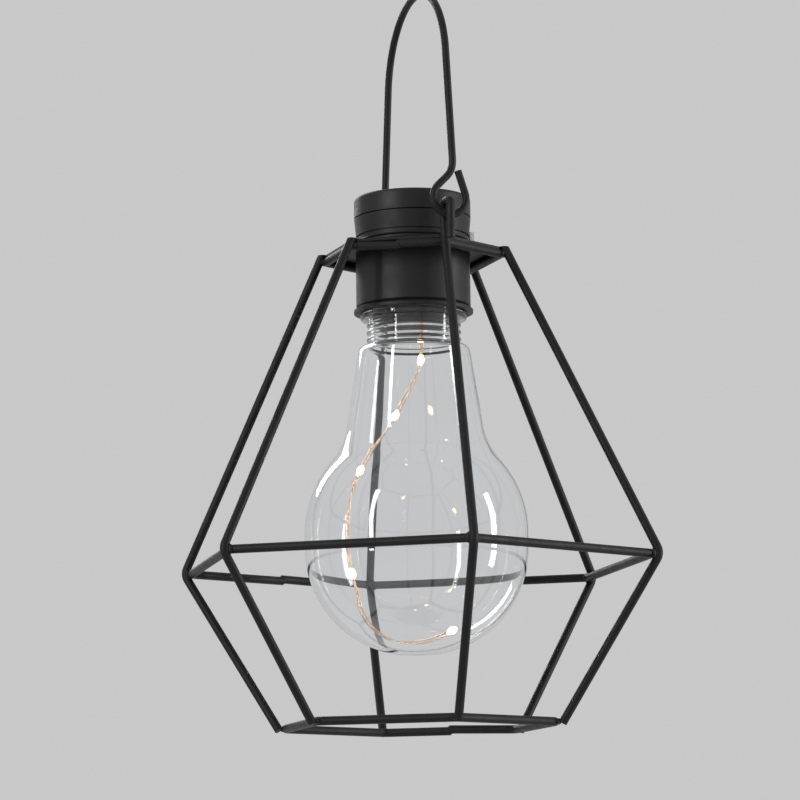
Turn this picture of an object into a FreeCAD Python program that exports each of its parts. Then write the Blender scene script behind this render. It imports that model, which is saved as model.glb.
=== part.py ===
# Hanging lantern: a hexagonal wire cage, a clear bulb-shaped bottle and a battery cap
# with a string of small lamps.
# Millimetres, +Z up. The origin is at the centre of the cage's foot, on the surface that it stands on.
# The two bail hooks lie on the Y axis, the front one at -Y, and the switch knob is at +X.
import FreeCAD, Part
import math
import os

Vector = FreeCAD.Vector
UP = Vector(0, 0, 1)

# Cage: three hexagonal rings of bent wire, six ribs and a top plate.
# The rings' radii run from the axis to the sharp corner of the wire's centre line.
WIRE = 3.5
CORNERS = 6
BASE_RING_RADIUS = 56.4
WAIST_RING_RADIUS = 97.9
TOP_RING_RADIUS = 36.6
WAIST_RISE = 65.0
SHOULDER_RISE = 125.9
BASE_TURN_DEG = -4.5
WAIST_TURN_DEG = -7.0
RING_BEND = 4.0
RING_STEP = 0.7
RING_LAP = 0.2
BASE_SEAM_CORNER = 3
WAIST_SEAM_CORNER = 4
TOP_SEAM_CORNER = 0
RIB_BEND = 5.0
WELD_SINK = 0.5
FOOT_CLEARANCE = 0.2
RIB_TOP_RISE = 0.2
PLATE_THICKNESS = 1.0
PLATE_LIP = 0.6
PLATE_CORNER = 3.0

# Hooks: the front and rear ribs run on over the plate and bend outwards into a U.
HOOK_KINK_RISE = 1.0
HOOK_KINK_BEND = 5.0
HOOK_BEND = 2.9
PIN_RISE = 15.5
HOOK_INNER_RADIUS = 37.5
HOOK_WIDTH = 8.8
HOOK_END_TUCK = 0.4
HOOK_END_DROP = 15.6

# Bail: one bent wire with an open eye at each end, loose on the hooks and pushed a little to the right.
BAIL_WIRE = 3.0
BAIL_RISE = 95.1
BAIL_CROWN_RADIUS = 36.2
BAIL_LEG_STEP = 1.4
BAIL_SHIFT = 1.2
EYE_RADIUS = 6.9
EYE_LEAVE_DEG = 45.0
EYE_LEG_BEND = 8.8
KNEE_RISE = 1.5
KNEE_BEND = 25.0
EYE_TAIL_DEG = 18.0
EYE_TAIL = 9.5
EYE_PLAY = 2.3

# Socket sleeve, which hangs under the plate and takes the bottle's threaded neck.
SLEEVE_RADIUS = 23.4
SLEEVE_LENGTH = 24.8
SLEEVE_WALL = 2.0
SLEEVE_CEILING = 4.0
SLEEVE_RIM = 1.0
SLEEVE_RIM_HEIGHT = 2.2
SLEEVE_GROOVE = 0.6
COLLAR_HEIGHT = 10.4
COLLAR_CLEARANCE = 0.5

# Battery housing, which sits on the plate, with the cell tube that hangs through it into the neck.
HOUSING_FOOT_RADIUS = 23.0
HOUSING_FOOT_HEIGHT = 5.3
HOUSING_GROOVE = 0.7
HOUSING_BAND_RADIUS = 23.2
HOUSING_HEIGHT = 13.2
HOUSING_WALL = 2.4
HOUSING_FLOOR = 2.0
RIDGE_COUNT = 2
RIDGE_HEIGHT = 0.5
SPIGOT_HEIGHT = 5.5
TUBE_RADIUS = 16.8
TUBE_WALL = 1.4
TUBE_FLOOR = 1.5
TUBE_DEPTH = 31.7
TUBE_TOP_RISE = 9.5
TUBE_CHAMFER = 1.0
TUBE_HOLE_CLEARANCE = 0.4

# Lid and what is under it.
LID_RADIUS = 23.9
LID_HEIGHT = 8.35
LID_WALL = 1.4
LID_TOP = 2.0
LID_EDGE = 1.5
LID_GAP = 0.5
LID_CLEARANCE = 0.3
SEAL_THICKNESS = 1.2
SEAL_WIDTH = 1.8
CONTACT_PLATE_RADIUS = 14.0
CONTACT_PLATE_THICKNESS = 0.8
CONTACT_TIP_RADIUS = 1.6
CONTACT_BOSS_RADIUS = 5.0
CONTACT_GAP = 0.3

# Three upright AAA cells in a cradle, on sprung contacts.
CELL_COUNT = 3
CELL_RADIUS = 5.25
CELL_BODY = 43.5
CELL_NUB = 1.0
CELL_NUB_RADIUS = 1.9
CELL_RING_RADIUS = 9.4
CELL_CLEARANCE = 0.25
CRADLE_FLOOR = 1.0
CRADLE_CLEARANCE = 0.4
SPRING_HEIGHT = 2.2
SPRING_FOOT_RADIUS = 3.6
SPRING_TIP_RADIUS = 1.8

# Slide switch, board and screws in the ring-shaped space beside the cell tube.
SWITCH_LENGTH = 8.5
SWITCH_DEPTH = 3.0
SWITCH_HEIGHT = 7.5
SWITCH_TUBE_GAP = 0.4
SWITCH_SLOT_DEPTH = 1.2
SWITCH_TRAVEL = 2.5
KNOB_STEM = 2.6
KNOB_STEM_HEIGHT = 2.4
KNOB_HEAD = 4.0
KNOB_HEAD_HEIGHT = 4.4
KNOB_HEAD_DEPTH = 2.6
KNOB_HEAD_EDGE = 0.7
KNOB_RISE = 6.8
KNOB_STANDOFF = 0.3
KNOB_CLEARANCE = 0.15
BOARD_LENGTH = 12.0
BOARD_THICKNESS = 1.0
BOARD_HEIGHT = 7.0
BOARD_TUBE_GAP = 0.4
CHIP_SIDE = 4.0
CHIP_THICKNESS = 1.2
SCREW_COUNT = 3
SCREW_RING_RADIUS = 18.9
SCREW_START_DEG = 0.0
SCREW_SHANK_RADIUS = 1.1
SCREW_HEAD_RADIUS = 1.8
SCREW_HEAD_HEIGHT = 1.6
SCREW_BITE = 3.0
SCREW_CLEARANCE = 0.2

# Bottle: a bulb-shaped shell with a bead, which stops it under the sleeve, and a threaded neck above it.
BULB_WALL = 1.2
BEAD_RADIUS = 21.8
BEAD_THICKNESS = 2.5
BEAD_EDGE = 0.8
BEAD_GAP = 0.3
THREAD_NECK_RADIUS = 19.2
THREAD_NECK_HEIGHT = 18.5
NECK_RADIUS = 18.7
NECK_LENGTH = 10.6
NECK_RING_COUNT = 3
NECK_RING_PITCH = 3.0
NECK_RING_HEIGHT = 0.7
NECK_RING_WIDTH = 2.0
BODY_HEIGHT = 126.4
SHOULDER_RADIUS = 22.6
SHOULDER_EDGE = 3.6
CONE_FOOT_RADIUS = 27.6
CONE_HEIGHT = 32.2
FLARE_RADIUS = 28.0
GLOBE_RADIUS = 45.4
GLOBE_RISE = 49.2
BULB_FOOT_RADIUS = 1.8
GASKET_THICKNESS = 1.9
GASKET_WIDTH = 3.4
GASKET_PLAY = 0.05
GASKET_GAP = 0.3

# Lamp string: a thin stiff wire out of a grommet in the tube's floor, with small sealed lamps on it.
# Route points are x, y and the drop below the grommet's lower face.
GROMMET_X = 2.0
GROMMET_Y = -3.8
GROMMET_RADIUS = 2.4
GROMMET_LIP_RADIUS = 3.4
GROMMET_LIP = 1.0
LAMP_WIRE = 1.0
LAMP_RADIUS = 1.4
LAMP_LENGTH = 5.0
LAMP_EDGE = 1.2
LAMP_RUN_INDEX = (1, 3, 5, 8)
LAMP_ROUTE = (
    (2.0, -3.8, 0.0),
    (2.0, -3.8, 8.6),
    (1.1, -3.3, 17.5),
    (-4.4, -0.7, 28.3),
    (-11.8, 3.9, 43.3),
    (-18.6, 7.3, 52.3),
    (-23.8, 9.3, 62.9),
    (-26.9, 9.1, 78.7),
    (-26.8, 8.2, 91.7),
    (-23.5, 6.9, 106.7),
    (-21.8, 6.3, 115.7),
    (-17.5, 4.4, 122.4),
    (-11.4, 0.8, 127.1),
    (-4.3, -6.4, 128.3),
    (2.2, -15.0, 127.3),
    (6.9, -20.6, 124.1),
)

# Heights and places that follow from the sizes above.
BASE_Z = WIRE / 2
WAIST_Z = BASE_Z + WAIST_RISE
TOP_Z = WAIST_Z + SHOULDER_RISE
PLATE_BOTTOM_Z = TOP_Z + WIRE / 2
PLATE_TOP_Z = PLATE_BOTTOM_Z + PLATE_THICKNESS
PIN_Z = TOP_Z + PIN_RISE
HOOK_OUTER_RADIUS = HOOK_INNER_RADIUS + HOOK_WIDTH
BAIL_HALF_SPAN = HOOK_INNER_RADIUS + HOOK_WIDTH / 2
HOUSING_TOP_Z = PLATE_TOP_Z + HOUSING_HEIGHT
SPIGOT_TOP_Z = HOUSING_TOP_Z + SPIGOT_HEIGHT
HOUSING_FLOOR_Z = PLATE_TOP_Z + HOUSING_FLOOR
HOUSING_BORE = HOUSING_BAND_RADIUS - HOUSING_WALL
TUBE_BOTTOM_Z = PLATE_TOP_Z - TUBE_DEPTH
TUBE_FLOOR_Z = TUBE_BOTTOM_Z + TUBE_FLOOR
TUBE_BORE = TUBE_RADIUS - TUBE_WALL
TUBE_HOLE_RADIUS = TUBE_RADIUS + TUBE_HOLE_CLEARANCE
LID_BOTTOM_Z = HOUSING_TOP_Z + LID_GAP
LID_TOP_Z = LID_BOTTOM_Z + LID_HEIGHT
LID_CEILING_Z = LID_TOP_Z - LID_TOP
LID_BORE = LID_RADIUS - LID_WALL
SPIGOT_RADIUS = LID_BORE - LID_CLEARANCE
SLEEVE_BOTTOM_Z = PLATE_BOTTOM_Z - SLEEVE_LENGTH
SLEEVE_CEILING_Z = PLATE_BOTTOM_Z - SLEEVE_CEILING
BEAD_TOP_Z = SLEEVE_BOTTOM_Z - BEAD_GAP
BEAD_BOTTOM_Z = BEAD_TOP_Z - BEAD_THICKNESS
SHOULDER_Z = BEAD_BOTTOM_Z - NECK_LENGTH
BULB_BASE_Z = SHOULDER_Z - BODY_HEIGHT
GLOBE_Z = BULB_BASE_Z + GLOBE_RISE
BOWL_RADIUS = GLOBE_RADIUS - BULB_FOOT_RADIUS
BOWL_Z = BULB_BASE_Z + BOWL_RADIUS
CELL_BOTTOM_Z = TUBE_FLOOR_Z + CRADLE_FLOOR + SPRING_HEIGHT
CELL_TOP_Z = CELL_BOTTOM_Z + CELL_BODY + CELL_NUB
GROMMET_BOTTOM_Z = TUBE_BOTTOM_Z - GROMMET_LIP
KNOB_Z = PLATE_TOP_Z + KNOB_RISE
KNOB_HEAD_X = HOUSING_FOOT_RADIUS + RIDGE_HEIGHT + KNOB_STANDOFF
SWITCH_FACE_X = TUBE_RADIUS + SWITCH_TUBE_GAP + SWITCH_DEPTH


def polar(radius, angle_deg, z):
    """Point at a radius and height, at an angle that starts at -Y and turns towards +X."""
    angle = math.radians(angle_deg)
    return Vector(radius * math.sin(angle), -radius * math.cos(angle), z)


def rounded_path(points, radii, closed=False):
    """Wire of straight runs through points, each corner rounded to its own radius, where 0 is sharp."""
    count = len(points)
    corners = []
    for i, (corner, radius) in enumerate(zip(points, radii)):
        if radius == 0:
            corners.append((corner, None, corner))
            continue
        back = (points[i - 1] - corner).normalize()
        ahead = (points[(i + 1) % count] - corner).normalize()
        half = back.getAngle(ahead) / 2
        reach = radius / math.tan(half)
        middle = corner + (back + ahead).normalize() * (radius / math.sin(half) - radius)
        corners.append((corner + back * reach, middle, corner + ahead * reach))
    edges = []
    for i, (arrive, middle, leave) in enumerate(corners):
        if middle is not None:
            edges.append(Part.Arc(arrive, middle, leave).toShape())
        if closed or i + 1 < count:
            edges.append(Part.makeLine(leave, corners[(i + 1) % count][0]))
    return Part.Wire(edges)


def round_bar(path, diameter):
    """Solid of round wire along a path of runs and arcs."""
    first = path.OrderedEdges[0]
    start = first.valueAt(first.FirstParameter)
    heading = first.tangentAt(first.FirstParameter)
    section = Part.Wire([Part.makeCircle(diameter / 2, start, heading)])
    return path.makePipeShell([section], True, False)


def turned(points, radii=None):
    """Solid turned about Z from a closed outline of radius and height points."""
    outline = [Vector(radius, 0, z) for radius, z in points]
    wire = rounded_path(outline, radii or [0] * len(outline), closed=True)
    return Part.Face(wire).revolve(Vector(0, 0, 0), UP, 360)


def ring_of(inner, outer, low, high):
    """Plain ring between two radii and two heights."""
    return turned([(inner, low), (outer, low), (outer, high), (inner, high)])


def cylinder(radius, low, high, x=0.0, y=0.0):
    """Upright cylinder between two heights."""
    return Part.makeCylinder(radius, high - low, Vector(x, y, low), UP)


def block(low, high):
    """Box between two corners."""
    size = high - low
    return Part.makeBox(size.x, size.y, size.z, low)


def around(count, radius, start_deg=0.0):
    """Places evenly spaced on a circle about the axis."""
    return [polar(radius, start_deg + 360.0 * i / count, 0) for i in range(count)]


def corner_depth(radius, interior_deg):
    """Distance from a sharp corner to the middle of its rounding."""
    return radius / math.sin(math.radians(interior_deg / 2)) - radius


def hexagon(radius, turn_deg, z):
    """Corner points of a hexagon about the axis."""
    return [polar(radius, turn_deg + 360.0 * i / CORNERS, z) for i in range(CORNERS)]


def wire_ring(radius, turn_deg, z, first, step):
    """Hexagonal ring of one wire, whose ends meet with a step in the middle of the side before a corner."""
    corners = hexagon(radius, turn_deg, z)
    corners = corners[first:] + corners[:first]
    half = CORNERS // 2
    seam = (corners[-1] + corners[0]) * 0.5
    opposite = (corners[half - 1] + corners[half]) * 0.5
    lap = (corners[0] - corners[-1]).normalize() * RING_LAP
    radii = [0] + [RING_BEND] * half + [0]
    start = rounded_path([seam - lap] + corners[:half] + [opposite], radii)
    end = rounded_path([opposite] + corners[half:] + [seam + lap + UP * step], radii)
    return round_bar(start, WIRE).fuse(round_bar(end, WIRE)).removeSplitter()


def ring_face(radius):
    """Radius at which the centre line of a ring's rounded corner stands."""
    return radius - corner_depth(RING_BEND, 180 - 360 / CORNERS)


def rib_line(index):
    """Foot, waist corner and shoulder of one rib, which lies against the outside of the rings."""
    step = 360.0 * index / CORNERS
    weld = WIRE - WELD_SINK
    base, waist, top = (ring_face(r) for r in (BASE_RING_RADIUS, WAIST_RING_RADIUS, TOP_RING_RADIUS))
    lower = math.atan2(WAIST_RISE, waist - base)
    upper = math.atan2(SHOULDER_RISE, waist - top)
    bend = corner_depth(RIB_BEND, math.degrees(lower + upper))
    waist_point = polar(waist + weld + bend, step + WAIST_TURN_DEG, WAIST_Z)
    base_point = polar(base + weld / math.sin(lower), step + BASE_TURN_DEG, BASE_Z)
    shoulder = polar(top + weld / math.sin(upper), step, TOP_Z)
    foot_z = FOOT_CLEARANCE + WIRE / 2 * math.cos(lower)
    return at_height(waist_point, base_point, foot_z), waist_point, shoulder


def at_height(start, end, z):
    """Point at a height on the line through two points."""
    return start + (end - start) * ((z - start.z) / (end.z - start.z))


def plain_rib(index):
    """Rib whose upper end is cut off level, just above the plate."""
    foot, waist, shoulder = rib_line(index)
    level = PLATE_TOP_Z + RIB_TOP_RISE
    top = at_height(waist, shoulder, level + WIRE)
    bar = round_bar(rounded_path([foot, waist, top], [0, RIB_BEND, 0]), WIRE)
    return bar.cut(cylinder(WAIST_RING_RADIUS, level, level + 2 * WIRE))


def hooked_rib(index):
    """Rib that runs on over the plate and turns outwards into a U, whose top is the bail's pin."""
    foot, waist, shoulder = rib_line(index)
    step = 360.0 * index / CORNERS
    kink = at_height(waist, shoulder, TOP_Z + HOOK_KINK_RISE)
    inner = polar(HOOK_INNER_RADIUS, step, PIN_Z)
    outer = polar(HOOK_OUTER_RADIUS, step, PIN_Z)
    end = polar(HOOK_OUTER_RADIUS - HOOK_END_TUCK, step, PIN_Z - HOOK_END_DROP)
    radii = [0, RIB_BEND, HOOK_KINK_BEND, HOOK_BEND, HOOK_BEND, 0]
    return round_bar(rounded_path([foot, waist, kink, inner, outer, end], radii), WIRE)


def top_plate(ribs):
    """Hexagonal sheet on the top ring, with the tube's hole, screw holes and corners cut for the ribs."""
    corners = hexagon(TOP_RING_RADIUS + PLATE_LIP, 0, PLATE_BOTTOM_Z)
    outline = rounded_path(corners, [PLATE_CORNER] * CORNERS, closed=True)
    plate = Part.Face(outline).extrude(UP * PLATE_THICKNESS)
    holes = [cylinder(TUBE_HOLE_RADIUS, PLATE_BOTTOM_Z, PLATE_TOP_Z)]
    holes += screw_holes(SCREW_SHANK_RADIUS + SCREW_CLEARANCE, PLATE_BOTTOM_Z, PLATE_TOP_Z)
    return plate.cut(holes + ribs)


def screw_places():
    """Places of the screws that clamp the sleeve, the plate and the housing."""
    return around(SCREW_COUNT, SCREW_RING_RADIUS, SCREW_START_DEG)


def screw_holes(radius, low, high):
    """Upright cylinders at the screws' places."""
    return [cylinder(radius, low, high, place.x, place.y) for place in screw_places()]


def clamp_screws():
    """Pan head screws from the housing's floor into the sleeve's ceiling."""
    tip_z = PLATE_BOTTOM_Z - SCREW_BITE
    screws = []
    for place in screw_places():
        shank = cylinder(SCREW_SHANK_RADIUS, tip_z, HOUSING_FLOOR_Z, place.x, place.y)
        head_z = HOUSING_FLOOR_Z + SCREW_HEAD_HEIGHT
        head = cylinder(SCREW_HEAD_RADIUS, HOUSING_FLOOR_Z, head_z, place.x, place.y)
        screws.append(shank.fuse(head).removeSplitter())
    return Part.makeCompound(screws)


def socket_sleeve():
    """Sleeve with a ceiling that seats on the plate, a collar for the bottle's neck and a wider rim."""
    bore = SLEEVE_RADIUS - SLEEVE_WALL
    collar = THREAD_NECK_RADIUS + COLLAR_CLEARANCE
    rim_top = SLEEVE_BOTTOM_Z + SLEEVE_RIM_HEIGHT
    shell = turned([
        (collar, SLEEVE_BOTTOM_Z),
        (SLEEVE_RADIUS + SLEEVE_RIM, SLEEVE_BOTTOM_Z),
        (SLEEVE_RADIUS + SLEEVE_RIM, rim_top - SLEEVE_RIM),
        (SLEEVE_RADIUS - SLEEVE_GROOVE, rim_top),
        (SLEEVE_RADIUS, rim_top + SLEEVE_GROOVE),
        (SLEEVE_RADIUS, PLATE_BOTTOM_Z),
        (TUBE_HOLE_RADIUS, PLATE_BOTTOM_Z),
        (TUBE_HOLE_RADIUS, SLEEVE_CEILING_Z),
        (bore, SLEEVE_CEILING_Z),
        (bore, SLEEVE_BOTTOM_Z + COLLAR_HEIGHT),
        (collar, SLEEVE_BOTTOM_Z + COLLAR_HEIGHT),
    ])
    return shell.cut(screw_holes(SCREW_SHANK_RADIUS, PLATE_BOTTOM_Z - SCREW_BITE, PLATE_BOTTOM_Z))


def housing_outline():
    """Outline of the housing and its tube, from the tube's floor round the outside to the axis."""
    foot_top = PLATE_TOP_Z + HOUSING_FOOT_HEIGHT
    ridge_step = HOUSING_FOOT_HEIGHT / (RIDGE_COUNT + 1)
    points = [
        (0, TUBE_BOTTOM_Z),
        (TUBE_RADIUS - TUBE_CHAMFER, TUBE_BOTTOM_Z),
        (TUBE_RADIUS, TUBE_BOTTOM_Z + TUBE_CHAMFER),
        (TUBE_RADIUS, PLATE_TOP_Z),
        (HOUSING_FOOT_RADIUS, PLATE_TOP_Z),
    ]
    for i in range(RIDGE_COUNT):
        ridge_z = PLATE_TOP_Z + ridge_step * (i + 1)
        points.append((HOUSING_FOOT_RADIUS, ridge_z - RIDGE_HEIGHT))
        points.append((HOUSING_FOOT_RADIUS + RIDGE_HEIGHT, ridge_z))
        points.append((HOUSING_FOOT_RADIUS, ridge_z + RIDGE_HEIGHT))
    points += [
        (HOUSING_FOOT_RADIUS, foot_top),
        (HOUSING_BAND_RADIUS - HOUSING_GROOVE, foot_top),
        (HOUSING_BAND_RADIUS - HOUSING_GROOVE, foot_top + HOUSING_GROOVE),
        (HOUSING_BAND_RADIUS, foot_top + HOUSING_GROOVE),
        (LID_RADIUS, HOUSING_TOP_Z),
        (SPIGOT_RADIUS, HOUSING_TOP_Z),
        (SPIGOT_RADIUS, SPIGOT_TOP_Z),
        (HOUSING_BORE, SPIGOT_TOP_Z),
        (HOUSING_BORE, HOUSING_FLOOR_Z),
        (TUBE_RADIUS, HOUSING_FLOOR_Z),
        (TUBE_RADIUS, PLATE_TOP_Z + TUBE_TOP_RISE),
        (TUBE_BORE, PLATE_TOP_Z + TUBE_TOP_RISE),
        (TUBE_BORE, TUBE_FLOOR_Z),
        (0, TUBE_FLOOR_Z),
    ]
    return points


def stem_slot(inner, outer):
    """Box that the knob's stem moves in, between two distances from the axis."""
    half_length = (KNOB_STEM + SWITCH_TRAVEL) / 2 + KNOB_CLEARANCE
    half_height = KNOB_STEM_HEIGHT / 2 + KNOB_CLEARANCE
    return block(Vector(inner, -half_length, KNOB_Z - half_height),
                 Vector(outer, half_length, KNOB_Z + half_height))


def battery_housing():
    """Round housing with the cell tube, the switch's slot, the grommet's hole and the screw holes."""
    holes = [stem_slot(SWITCH_FACE_X, KNOB_HEAD_X)]
    holes.append(cylinder(GROMMET_RADIUS, TUBE_BOTTOM_Z, TUBE_FLOOR_Z, GROMMET_X, GROMMET_Y))
    holes += screw_holes(SCREW_SHANK_RADIUS + SCREW_CLEARANCE, PLATE_TOP_Z, HOUSING_FLOOR_Z)
    return turned(housing_outline()).cut(holes)


def battery_lid():
    """Lid with a skirt round the housing's spigot and a boss that carries the upper contacts."""
    plate_z = contact_plate_z()
    outline = [
        (0, plate_z + CONTACT_PLATE_THICKNESS),
        (CONTACT_BOSS_RADIUS, plate_z + CONTACT_PLATE_THICKNESS),
        (CONTACT_BOSS_RADIUS, LID_CEILING_Z),
        (LID_BORE, LID_CEILING_Z),
        (LID_BORE, LID_BOTTOM_Z),
        (LID_RADIUS, LID_BOTTOM_Z),
        (LID_RADIUS, LID_TOP_Z),
        (0, LID_TOP_Z),
    ]
    return turned(outline, [0, 0, 0, 0, 0, 0, LID_EDGE, 0])


def contact_plate_z():
    """Height of the upper contact plate's lower face, half way from the cells to the lid's ceiling."""
    return (CELL_TOP_Z + LID_CEILING_Z) / 2


def lid_contact_plate():
    """Disc under the lid with a sprung tip over each cell."""
    low = contact_plate_z()
    plate = cylinder(CONTACT_PLATE_RADIUS, low, low + CONTACT_PLATE_THICKNESS)
    tip_z = CELL_TOP_Z + CONTACT_GAP
    for place in cell_places():
        tip = Part.makeCone(CONTACT_TIP_RADIUS, 2 * CONTACT_TIP_RADIUS, low - tip_z,
                            Vector(place.x, place.y, tip_z), UP)
        plate = plate.fuse(tip)
    return plate.removeSplitter()


def lid_seal():
    """Flat ring under the lid's ceiling, over the spigot."""
    return ring_of(LID_BORE - SEAL_WIDTH, LID_BORE, LID_CEILING_Z - SEAL_THICKNESS, LID_CEILING_Z)


def cell_places():
    """Places of the cells' axes."""
    return around(CELL_COUNT, CELL_RING_RADIUS)


def battery_cell(place):
    """Cell with its raised positive end."""
    body_top = CELL_BOTTOM_Z + CELL_BODY
    body = cylinder(CELL_RADIUS, CELL_BOTTOM_Z, body_top, place.x, place.y)
    nub = cylinder(CELL_NUB_RADIUS, body_top, CELL_TOP_Z, place.x, place.y)
    return body.fuse(nub).removeSplitter()


def cell_cradle():
    """Star-shaped cradle with a floor, open at the side of each cell."""
    low = TUBE_FLOOR_Z + CRADLE_FLOOR
    cradle = cylinder(TUBE_BORE - CRADLE_CLEARANCE, TUBE_FLOOR_Z, CELL_BOTTOM_Z + CELL_BODY)
    bore = CELL_RADIUS + CELL_CLEARANCE
    bores = [cylinder(bore, low, CELL_TOP_Z, place.x, place.y) for place in cell_places()]
    return cradle.cut(bores)


def contact_springs():
    """Sprung contact under each cell."""
    low = TUBE_FLOOR_Z + CRADLE_FLOOR
    springs = [Part.makeCone(SPRING_FOOT_RADIUS, SPRING_TIP_RADIUS, SPRING_HEIGHT,
                             Vector(place.x, place.y, low), UP) for place in cell_places()]
    return Part.makeCompound(springs)


def switch_body():
    """Switch case on the housing's floor, with a slot for the knob's stem."""
    case = block(Vector(SWITCH_FACE_X - SWITCH_DEPTH, -SWITCH_LENGTH / 2, HOUSING_FLOOR_Z),
                 Vector(SWITCH_FACE_X, SWITCH_LENGTH / 2, HOUSING_FLOOR_Z + SWITCH_HEIGHT))
    return case.cut(stem_slot(SWITCH_FACE_X - SWITCH_SLOT_DEPTH, SWITCH_FACE_X))


def knob_block(inner, outer, width, height):
    """Box of the knob at the near end of its travel."""
    middle = -SWITCH_TRAVEL / 2
    return block(Vector(inner, middle - width / 2, KNOB_Z - height / 2),
                 Vector(outer, middle + width / 2, KNOB_Z + height / 2))


def switch_knob():
    """Knob with a stem through the housing's wall into the switch."""
    inner = SWITCH_FACE_X - SWITCH_SLOT_DEPTH + KNOB_CLEARANCE
    stem = knob_block(inner, KNOB_HEAD_X, KNOB_STEM, KNOB_STEM_HEIGHT)
    head = knob_block(KNOB_HEAD_X, KNOB_HEAD_X + KNOB_HEAD_DEPTH, KNOB_HEAD, KNOB_HEAD_HEIGHT)
    outer = [edge for edge in head.Edges if edge.BoundBox.XMin > KNOB_HEAD_X]
    return head.makeFillet(KNOB_HEAD_EDGE, outer).fuse(stem).removeSplitter()


def control_board():
    """Upright circuit board with its chip, across from the switch."""
    face = -(TUBE_RADIUS + BOARD_TUBE_GAP)
    board = block(Vector(face - BOARD_THICKNESS, -BOARD_LENGTH / 2, HOUSING_FLOOR_Z),
                  Vector(face, BOARD_LENGTH / 2, HOUSING_FLOOR_Z + BOARD_HEIGHT))
    middle_z = HOUSING_FLOOR_Z + BOARD_HEIGHT / 2
    back = face - BOARD_THICKNESS
    chip = block(Vector(back - CHIP_THICKNESS, -CHIP_SIDE / 2, middle_z - CHIP_SIDE / 2),
                 Vector(back, CHIP_SIDE / 2, middle_z + CHIP_SIDE / 2))
    return board.fuse(chip)


def arc_between(centre, start, end):
    """Arc of under a half turn about a centre."""
    radius = (start - centre).Length
    middle = centre + ((start - centre) + (end - centre)).normalize() * radius
    return Part.Arc(start, middle, end).toShape()


def bail_eye(y):
    """Edges of one upright eye, from the wire's cut end round under the pin to the foot of the leg."""
    centre = Vector(0, y, EYE_RADIUS - WIRE / 2 - EYE_PLAY - BAIL_WIRE / 2)
    across = Vector(1, 0, 0)

    def on_eye(angle_deg):
        angle = math.radians(angle_deg)
        return centre + (across * math.cos(angle) + UP * math.sin(angle)) * EYE_RADIUS

    tail = math.radians(EYE_TAIL_DEG)
    tail_start = on_eye(EYE_TAIL_DEG)
    tail_end = tail_start + (UP * math.cos(tail) - across * math.sin(tail)) * EYE_TAIL
    bottom = on_eye(-90)
    leave = on_eye(180 - EYE_LEAVE_DEG)
    turn = math.radians(EYE_LEAVE_DEG)
    bend_width = EYE_LEG_BEND * (1 - math.cos(turn))
    slant = (BAIL_LEG_STEP - leave.x - bend_width) / math.sin(turn)
    bend_start = leave + (across * math.sin(turn) + UP * math.cos(turn)) * slant
    bend_centre = bend_start + (UP * math.sin(turn) - across * math.cos(turn)) * EYE_LEG_BEND
    leg_foot = bend_centre + across * EYE_LEG_BEND
    return [
        Part.makeLine(tail_end, tail_start),
        arc_between(centre, tail_start, bottom),
        arc_between(centre, bottom, on_eye(180)),
        arc_between(centre, on_eye(180), leave),
        Part.makeLine(leave, bend_start),
        arc_between(bend_centre, bend_start, leg_foot),
    ], leg_foot


def bail():
    """Bail of one wire: straight legs that lean into a round crown, with an eye at each end."""
    eye, leg_foot = bail_eye(-BAIL_HALF_SPAN)
    knee = leg_foot + UP * KNEE_RISE
    crown = Vector(BAIL_LEG_STEP, 0, BAIL_RISE - BAIL_CROWN_RADIUS)
    reach = (crown - knee).Length
    slope = math.atan2(crown.z - knee.z, BAIL_HALF_SPAN) + math.asin(BAIL_CROWN_RADIUS / reach)
    leg = math.sqrt(reach ** 2 - BAIL_CROWN_RADIUS ** 2)
    join = knee + Vector(0, math.cos(slope), math.sin(slope)) * leg
    top = crown + UP * BAIL_CROWN_RADIUS
    front = eye + rounded_path([leg_foot, knee, join], [0, KNEE_BEND, 0]).Edges
    front.append(arc_between(crown, join, top))
    half = round_bar(Part.Wire(front), BAIL_WIRE)
    wire = half.fuse(half.mirror(Vector(0, 0, 0), Vector(0, 1, 0))).removeSplitter()
    wire.translate(Vector(BAIL_SHIFT, 0, PIN_Z))
    return wire


def body_points(inset):
    """Corner and tangent points of the bulb's outline from shoulder to globe, moved in by an inset."""
    slope = Vector(CONE_FOOT_RADIUS - SHOULDER_RADIUS, 0, -CONE_HEIGHT).normalize()
    outward = Vector(-slope.z, 0, slope.x)
    cone_top = Vector(SHOULDER_RADIUS, 0, SHOULDER_Z) - outward * inset
    globe = Vector(0, 0, GLOBE_Z)
    flare = FLARE_RADIUS + inset
    offset = cone_top + outward * flare - globe
    along = offset.dot(slope)
    reach = (GLOBE_RADIUS + FLARE_RADIUS) ** 2 - offset.Length ** 2
    distance = -along - math.sqrt(along ** 2 + reach)
    flare_centre = globe + offset + slope * distance
    cone_foot = cone_top + slope * distance
    globe_join = globe + (flare_centre - globe).normalize() * (GLOBE_RADIUS - inset)
    return cone_top, slope, cone_foot, flare_centre, globe, globe_join


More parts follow.
